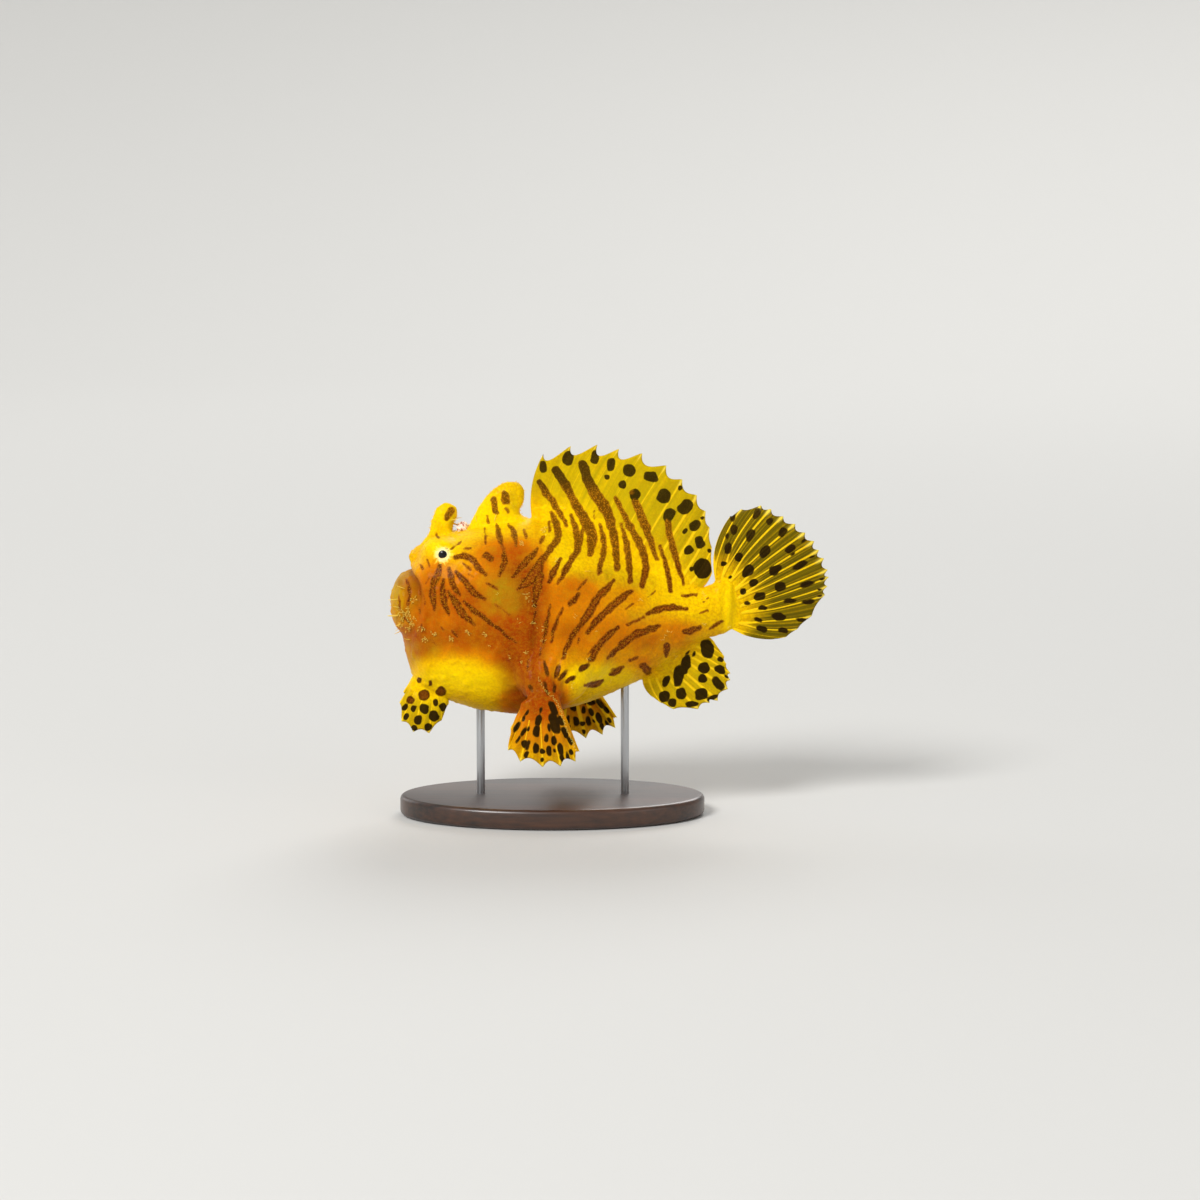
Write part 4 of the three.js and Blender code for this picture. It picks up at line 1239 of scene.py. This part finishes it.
def fin_thickness(ray_root, ray_tip, web_root, web_tip, ray_width):
    """Half thickness in mm, from root to rim, of the rays and of the webbing between them."""

    def half(fin):
        def at(u, reach):
            t = np.clip(reach, 0, 1)
            ridge = np.exp(-((fin.from_ray(u, reach) / ray_width) ** 2))
            return mix(web_root, web_tip, t) + (mix(ray_root, ray_tip, t) - mix(web_root, web_tip, t)) * ridge

        return at

    return half


FIN_FORMS = {
    "dorsal_fin": (fin_thickness(0.78, 0.34, 0.6, 0.2, 0.5), 11 * 14, 64),
    "caudal_fin": (fin_thickness(0.85, 0.36, 0.6, 0.16, 0.42), 17 * 12, 70),
    "anal_fin": (fin_thickness(0.75, 0.34, 0.6, 0.2, 0.45), 11 * 12, 48),
}
# the webbing's own tint, how strong it is, and how wide the rays look, in mm
fin_hide = granular_hide("webbed_fin_hide", ("#A8940A", 0.6, 0.72))
hand_hide = granular_hide("hand_fin_hide", ("#B07E08", 0.3, 0.6))
tail_hide = granular_hide("tail_fin_hide", ("#5E5208", 0.95, 0.46))
FIN_MATERIALS = {"caudal_fin": tail_hide, "pectoral_fin_left": hand_hide, "pectoral_fin_right": hand_hide}
fin_pieces = []
for name, (form, columns, rows) in FIN_FORMS.items():
    fin = FINS[name]
    piece = sheet_piece(name + "_web", fin, columns, rows, -0.04, 1.0, form(fin))
    fin_pieces.append((piece, name, points_of(piece)))
for name, far, forms in (
    ("pectoral_fin", to_far_hand, (0.95, 0.55, 0.75, 0.22, 0.75)),
    ("pelvic_fin", mirrored, (1.7, 0.6, 1.6, 0.3, 0.9)),
):
    fin = FINS[name]
    form = fin_thickness(*forms)(fin)
    for side_name in ("left", "right"):
        piece = sheet_piece(name + "_web_" + side_name, fin, fin.webs * 22, 56, -0.06, 1.0, form)
        drawn = points_of(piece)
        if side_name == "right":
            set_points(piece, far(drawn))
        fin_pieces.append((piece, name + "_" + side_name, drawn))
for piece, replaced, drawn in fin_pieces:
    add_markings(piece, drawn)
    if replaced.endswith("right"):
        recalculate_outside(piece)
    deselect()
    piece.select_set(True)
    bpy.context.view_layer.objects.active = piece
    bpy.ops.object.shade_smooth()
    piece.data.materials.append(FIN_MATERIALS.get(replaced, fin_hide))
    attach(piece, "root")
    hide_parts(replaced)


# Eyes: small glossy balls with a black pupil and a cream-yellow iris of fine rays that break its edge up.

def flecked_eye(name):
    # A wet cornea over a pigmented iris: very smooth, with one small crisp highlight
    material, tree = blank_material(name)
    place = add_node(tree, "ShaderNodeTexCoord").outputs["Object"]
    away, star = pupil_star(tree, place)
    turn = add_node(tree, "ShaderNodeAttribute", attribute_name="turn").outputs["Fac"]
    flecks = add_node(tree, "ShaderNodeTexNoise", {"W": turn, "Scale": 9.0}, noise_dimensions="1D")
    iris = add_node(
        tree, "ShaderNodeMix", {0: flecks, 6: colour("#FFE040"), 7: colour("#FFF6B8")}, data_type="RGBA"
    )
    iris = add_node(tree, "ShaderNodeMix", {0: star, 6: colour("#C87A04"), 7: iris}, data_type="RGBA")
    # a thin cream ring, then the pupil, which is 2.6 mm across
    for low, high, tint in ((1.75, 1.35, "#FFF4B4"), (1.32, 1.24, "#020202")):
        within = add_node(
            tree, "ShaderNodeMapRange", {"Value": away, "From Min": low, "From Max": high},
            interpolation_type="SMOOTHSTEP",
        )
        iris = add_node(tree, "ShaderNodeMix", {0: within, 6: iris, 7: colour(tint)}, data_type="RGBA")
    shader = add_node(
        tree, "ShaderNodeBsdfPrincipled",
        {
            "Base Color": iris, "Roughness": 0.45, "Specular IOR Level": 0.1, "Coat Weight": 1.0,
            "Coat Roughness": 0.03, "Coat IOR": 1.3,
        },
    )
    add_node(tree, "ShaderNodeOutputMaterial", {"Surface": shader})
    return material


eye_material = flecked_eye("wet_cornea_over_iris")
for side, side_name in ((-1, "left"), (1, "right")):
    centre = np.array([EYE["x"], side * EYE["y"], EYE["z"]])
    gaze = np.array(GAZE) * (1, side, 1) / np.linalg.norm(GAZE)

    def eyeball(p):
        bulge = 1 + 0.04 * smooth_step(0.8, 1.0, p @ gaze)
        return centre + p * EYE["radius"] * bulge[:, None]

    eye = ball("eyeball_" + side_name, eyeball, 96, 64)
    add_eye_places(eye, points_of(eye))
    bpy.ops.object.shade_smooth()
    eye.data.materials.append(eye_material)
    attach(eye, "root")
    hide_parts("eye_" + side_name)


# Fishing rod and lure: a thin bare spine folded back along the right of the second back spine, with a pale
# worm-like knot of flesh at its end.

ROD_LINE = [(-36, 2, 80), (-35, 3.4, 83.4), (-32.8, 3.7, 86.4), (-30, 2.9, 87.8), (-27.6, 1.4, 87.4)]
LURE, LURE_RADIUS = (-26.7, 0.3, 87), 1.75
rod_form = limb(ROD_LINE, lambda t: 0.36 - 0.1 * t, lambda t: 0.36 - 0.1 * t)
fishing_rod = ball("fishing_rod", rod_form, 16, 60)
bpy.ops.object.shade_smooth()
fishing_rod.data.materials.append(hide)
add_markings(fishing_rod, points_of(fishing_rod) + (0, 0, 60))
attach(fishing_rod, "root")
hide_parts("illicium")


def lure_form(p):
    x, y, z = p.T
    knots = 1 + 0.16 * np.sin(5 * x + 3 * z) * np.cos(4 * y + 2) + 0.07 * np.sin(9 * z + 7 * x)
    return np.array(LURE) + p * LURE_RADIUS * knots[:, None]


def pale_flesh():
    # Soft, half-clear flesh, pale pink with rust-red flecks about 1.1 mm across
    material, tree = blank_material("pale_lure_flesh")
    place = add_node(tree, "ShaderNodeTexCoord").outputs["Object"]
    flecks = add_node(tree, "ShaderNodeTexNoise", {"Vector": place, "Scale": 900.0, "Detail": 2.0})
    tint = add_node(tree, "ShaderNodeValToRGB", {"Fac": flecks})
    tint.color_ramp.elements[0].position = 0.4
    tint.color_ramp.elements[0].color = colour("#A8481F")
    tint.color_ramp.elements[1].position = 0.52
    tint.color_ramp.elements[1].color = colour("#FBE3CF")
    shader = add_node(
        tree, "ShaderNodeBsdfPrincipled",
        {
            "Base Color": tint.outputs["Color"], "Roughness": 0.35, "Subsurface Weight": 0.3,
            "Subsurface Radius": (1.0, 0.6, 0.4), "Subsurface Scale": 0.001,
        },
    )
    add_node(tree, "ShaderNodeOutputMaterial", {"Surface": shader.outputs[0]})
    return material


lure = ball("lure", lure_form, 48, 32)
bpy.ops.object.shade_smooth()
lure.data.materials.append(pale_flesh())
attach(lure, "root")
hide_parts("esca")


# Skin filaments: the soft cirri and warts that stand on the hide, a few long ones on the chin, knots of short
# ones on cheek and throat, fuzz along the back spines, and tiny ones lying back over the rest. Moulded on.

CHIN_FILAMENTS = [  # root, tip and half thickness: places on the side drawing, mm
    ((398, 599), (387, 599.5), 0.2), ((398, 616), (385.5, 616.5), 0.34), ((401, 624), (394, 627), 0.2),
    ((410, 640), (403.5, 641.5), 0.22), ((425, 551), (423, 544), 0.14), ((399, 608), (391, 606), 0.16),
    ((452, 520), (460, 519), 0.16), ((476, 521), (475.5, 513), 0.14), ((494, 521), (496, 513), 0.16),
    ((526, 507), (524, 499), 0.16), ((405, 589), (396, 586), 0.14), ((400, 632), (393, 635), 0.14),
]
KNOTS = [
    (404, 614), (401, 624), (413, 620), (421, 629), (434, 634), (451, 639), (469, 632), (414, 601),
    (485, 634), (543, 530), (521, 543), (408, 611), (425, 640), (408, 629), (400, 612), (403, 619),
    (409, 616), (411, 624),
]
FLECKS = [
    (497, 595), (525, 597), (533, 624), (541, 630), (543, 641), (510, 655), (522, 662), (525, 653),
    (588, 572), (576, 615), (594, 631), (589, 658), (573, 685), (611, 679), (669, 631), (664, 638),
    (660, 667), (705, 624), (729, 627), (676, 655), (657, 681), (710, 640), (703, 594), (706, 597),
    (527, 593), (530, 598), (533, 604), (563, 505), (590, 482), (610, 488), (555, 560), (640, 600),
    (566, 655), (487, 648), (520, 620),
]
ARM_RIDGE = ((538.5, 677), (545, 690), (554, 698), (559, 707), (562, 716))
HAND_RIDGE = ((562, 716), (566, 727), (570, 735), (574, 745), (578, 752))
FAR_ARM_SHIFT = (27, 7)
SPINE_AREAS = [((430, 510), (466, 552), 190), ((458, 476), (528, 530), 330)]
FILAMENT_SEGMENTS, FILAMENT_RINGS = 6, 7
BAKE_PATCH = 0.003  # side of one filament's patch on the map

seeded = np.random.default_rng(41)
skin_points, skin_normals = points_of(skin), normals_of(skin)
skin_places = on_drawing(skin_points)
roots, tips, thick, paleness = [], [], [], []


def add_filament(root, tip, half_thickness, pale):
    roots.append(root)
    tips.append(tip)
    thick.append(half_thickness)
    paleness.append(pale)


def nearest_on_skin(x, y, side):
    """The skin point seen at a place on the side drawing, on one side of the fish."""
    facing = (side * skin_normals[:, 1] > -0.15) & (side * skin_points[:, 1] > -1)
    away = np.hypot(skin_places[:, 0] - x, skin_places[:, 1] - y) - 0.12 * np.abs(skin_points[:, 1])
    return int(np.argmin(np.where(facing, away, 1e6)))


def lie_of(i, spread):
    """A direction for a filament at skin point i: back along the hide, with a seeded swing."""
    out = skin_normals[i]
    back = np.array([1.0, 0, -0.25]) + seeded.normal(0, spread, 3)
    along = back - out * (back @ out)
    return along / np.linalg.norm(along)


for side in (-1, 1):
    for (x, y), (x2, y2), half_thickness in CHIN_FILAMENTS:
        i = nearest_on_skin(x, y, side)
        shift = np.array([(x2 - x) * DRAWING_STEP, side * seeded.uniform(0.1, 0.6), (y - y2) * DRAWING_STEP])
        add_filament(skin_points[i], skin_points[i] + shift * (1 + 0.15 * side), half_thickness, 0.55)
    for x, y in KNOTS:
        for _ in range(11):
            i = nearest_on_skin(*(np.array([x, y]) + seeded.normal(0, 1.5, 2)), side)
            reach = seeded.uniform(0.25, 0.7)
            way = skin_normals[i] * 0.7 + lie_of(i, 1.2) * 0.8
            add_filament(skin_points[i], skin_points[i] + way * reach, seeded.uniform(0.13, 0.27), 0.36)
    for x, y in FLECKS:
        for _ in range(seeded.integers(2, 6)):
            i = nearest_on_skin(*(np.array([x, y]) + seeded.normal(0, 1.5, 2)), side)
            way = skin_normals[i] * 0.35 + lie_of(i, 0.9)
            add_filament(skin_points[i], skin_points[i] + way * seeded.uniform(0.25, 0.9), 0.1, 0.5)
    for x, y in curve_through(ARM_RIDGE)(np.linspace(0, 1, 70)):
        spot = np.array([x, y]) + seeded.normal(0, 0.5, 2) + (FAR_ARM_SHIFT if side > 0 else 0)
        i = nearest_on_skin(*spot, side)
        way = skin_normals[i] * 0.8 + lie_of(i, 0.5) * 0.4
        add_filament(skin_points[i], skin_points[i] + way * seeded.uniform(0.25, 0.45), 0.22, 0.3)

# the ridge goes on down the rear edge of each hand
for piece, replaced, drawn in fin_pieces:
    if replaced.startswith("pectoral"):
        web_points, web_normals, web_places = points_of(piece), normals_of(piece), on_drawing(drawn)
        for x, y in curve_through(HAND_RIDGE)(np.linspace(0, 1, 60)):
            spot = np.array([x, y]) + seeded.normal(0, 0.5, 2)
            outer_face = np.abs(drawn[:, 1]) - 0.2 * np.hypot(*(web_places - spot).T) ** 2
            i = int(np.argmax(outer_face))
            out = web_normals[i] * np.sign(web_normals[i][1] * web_points[i][1])
            add_filament(web_points[i], web_points[i] + out * seeded.uniform(0.25, 0.45), 0.2, 0.35)

for (x_low, y_low), (x_high, y_high), count in SPINE_AREAS:
    x, y = skin_places.T
    on_spine = (x > x_low) & (x < x_high) & (y > y_low) & (y < y_high) & (np.abs(skin_points[:, 1]) < 3.2)
    for i in seeded.choice(np.flatnonzero(on_spine), count, replace=False):
        edge = 1 - min(abs(skin_normals[i][1]), 1)
        way = skin_normals[i] * mix(0.4, 1.0, edge) + lie_of(i, 0.6) * 0.5
        length = seeded.uniform(0.3, 0.6) * mix(0.6, 1.15, edge)
        add_filament(skin_points[i], skin_points[i] + way * length, 0.09, 0.3)

on_body = (skin_points[:, 0] > -36) & (np.abs(skin_points[:, 1]) < 24)
for i in seeded.choice(np.flatnonzero(on_body), 900, replace=False):
    size = 0.7 if skin_points[i][0] < -20 else 1.0
    way = skin_normals[i] * 0.45 + lie_of(i, 0.5)
    add_filament(skin_points[i], skin_points[i] + way * seeded.uniform(0.2, 0.5) * size, 0.08, 0.05)

roots, tips, thick, paleness = (np.array(values) for values in (roots, tips, thick, paleness))

deselect()
bpy.ops.mesh.primitive_uv_sphere_add(segments=FILAMENT_SEGMENTS, ring_count=FILAMENT_RINGS, radius=1)
cirri = named("skin_filaments")
per_filament = len(cirri.data.vertices)
copies = cirri.modifiers.new("copies", "ARRAY")
copies.count = len(roots)
copies.use_relative_offset = False
copies.use_constant_offset = True
copies.constant_offset_displace = (0, 0, 0)
apply_modifiers(cirri)

ball_points = points_of(cirri) * MM
owner = np.arange(len(ball_points)) // per_filament
along = (1 - ball_points[:, 2]) / 2
way = tips - roots
length = np.linalg.norm(way, axis=1)
way /= length[:, None]
side_way = np.cross(way, seeded.normal(0, 1, way.shape))
side_way /= np.linalg.norm(side_way, axis=1)[:, None]
other_way = np.cross(way, side_way)
# each tapers to a third at its tip, bends a little, and starts just under the hide
taper = (thick[owner] * mix(1.15, 0.38, along))[:, None]
spine = mix(roots[owner] - way[owner] * 0.25, tips[owner], along[:, None])
bend = seeded.normal(0, 0.22, len(roots)) * length
spine += other_way[owner] * (bend[owner] * along**2)[:, None]
fullness = np.sqrt(np.maximum(1 - ball_points[:, 2] ** 4, 0))
rounding = fullness / np.maximum(np.hypot(*ball_points[:, :2].T), 1e-9)
circle = ball_points[:, :2] * rounding[:, None]
set_points(
    cirri, spine + taper * (side_way[owner] * circle[:, :1] + other_way[owner] * circle[:, 1:2])
)
bpy.ops.object.shade_smooth()

# The map: the hide unrolled round its own long axis, each filament on a free patch at its root's place
length_place = (roots[:, 0] - SNOUT_X + 6) / (TAIL_X - SNOUT_X + 12)
middle = (back_at(roots[:, 0]) + belly_at(roots[:, 0])) / 2
turn_place = np.arctan2(roots[:, 2] - middle, roots[:, 1]) / (2 * np.pi) + 0.5
cells = int(0.98 / BAKE_PATCH)
wanted = np.clip(np.stack([length_place, turn_place], 1), 0.01, 0.99) * cells
taken, corners = set(), []
for column, row in wanted.astype(int):
    for ring in range(cells):
        steps = range(-ring, ring + 1)
        free = [
            (column + a, row + b) for a in steps for b in steps
            if max(abs(a), abs(b)) == ring and (column + a, row + b) not in taken
            and 0 <= column + a < cells and 0 <= row + b < cells
        ]
        if free:
            taken.add(free[0])
            corners.append(free[0])
            break
corners = np.array(corners) * BAKE_PATCH + 0.005
plain_map = cirri.data.uv_layers[0]
flat = np.empty(len(plain_map.data) * 2)
plain_map.data.foreach_get("uv", flat)
corner_owner = np.empty(len(cirri.data.loops), np.int32)
cirri.data.loops.foreach_get("vertex_index", corner_owner)
corner_owner //= per_filament
placed = corners[corner_owner] + np.clip(flat.reshape(-1, 2), 0, 1) * BAKE_PATCH * 0.9
plain_map.name = "OFBake"
plain_map.data.foreach_set("uv", placed.ravel())

add_markings(cirri, from_far_arm(roots)[owner])
add_values(cirri, pale=np.clip(paleness[owner] * mix(0.7, 1.3, along), 0, 0.85))
cirri.data.materials.append(hide)
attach(cirri, "root")


# Studio: a plain pale floor that sweeps up far out all round, large soft lamps, and the camera level with the
# fish, a little above it.

FLOOR_FLAT, FLOOR_EDGE, FLOOR_RISE = 1.8, 4.0, 1.6  # in metres: where it starts to rise, its edge, its rise

deselect()
bpy.ops.mesh.primitive_grid_add(x_subdivisions=96, y_subdivisions=40, size=2)
floor = named("studio_floor")
grid = points_of(floor) * MM
out, around = (grid[:, 1] + 1) / 2 * FLOOR_EDGE, (grid[:, 0] + 1) * np.pi
rise = np.clip((out - FLOOR_FLAT) / (FLOOR_EDGE - FLOOR_FLAT), 0, 1)
swept = np.stack([out * np.cos(around), out * np.sin(around), rise**2 * FLOOR_RISE - 0.0002], 1)
set_points(floor, swept / MM)
recalculate_outside(floor)
bpy.ops.object.shade_smooth()
floor_paint, tree = blank_material("matt_studio_floor")
shader = add_node(tree, "ShaderNodeBsdfPrincipled", {"Base Color": colour("#CFCECB"), "Roughness": 0.9})
add_node(tree, "ShaderNodeOutputMaterial", {"Surface": shader.outputs[0]})
floor.data.materials.append(floor_paint)

world = bpy.data.worlds.new("studio")
bpy.context.scene.world = world
world.use_nodes = True
world.node_tree.nodes["Background"].inputs["Color"].default_value = colour("#F0F0EE")
world.node_tree.nodes["Background"].inputs["Strength"].default_value = 0.45


def aim(thing, target):
    direction = np.array(target, float) - np.array(thing.location)
    level = math.hypot(direction[0], direction[1])
    turn = math.atan2(direction[1], direction[0]) - math.pi / 2
    thing.rotation_euler = (math.atan2(level, -direction[2]), 0, turn)


SOFT_LAMPS = {
    "key": ((-1.3, -1.9, 1.9), 1.0, 72),
    "fill": ((2.1, -1.8, 0.9), 2.0, 9),
    "back": ((0.6, 2.2, 1.9), 1.6, 34),
    "far_side": ((-2.0, 1.8, 1.2), 2.0, 12),
}
FISH_MIDDLE = (0.0144, 0, 0.0651)
for name, (place, width, watts) in SOFT_LAMPS.items():
    lamp_data = bpy.data.lights.new(name, "AREA")
    lamp_data.shape = "DISK"
    lamp_data.size = width
    lamp_data.energy = watts
    lamp = bpy.data.objects.new(name, lamp_data)
    bpy.context.collection.objects.link(lamp)
    lamp.location = place
    aim(lamp, FISH_MIDDLE)

CAMERA_DISTANCE = 1.0
FRAME_WIDTH = 0.36  # of the picture, at the fish
ELEVATION = math.radians(8)
camera = bpy.data.objects.new("camera", bpy.data.cameras.new("camera"))
bpy.context.collection.objects.link(camera)
camera.location = (
    FISH_MIDDLE[0],
    -CAMERA_DISTANCE * math.cos(ELEVATION),
    FISH_MIDDLE[2] + CAMERA_DISTANCE * math.sin(ELEVATION),
)
aim(camera, FISH_MIDDLE)
camera.data.angle = 2 * math.atan(FRAME_WIDTH / 2 / CAMERA_DISTANCE)
camera.data.clip_start = 0.01
bpy.context.scene.camera = camera
bpy.context.scene.view_settings.view_transform = "Standard"
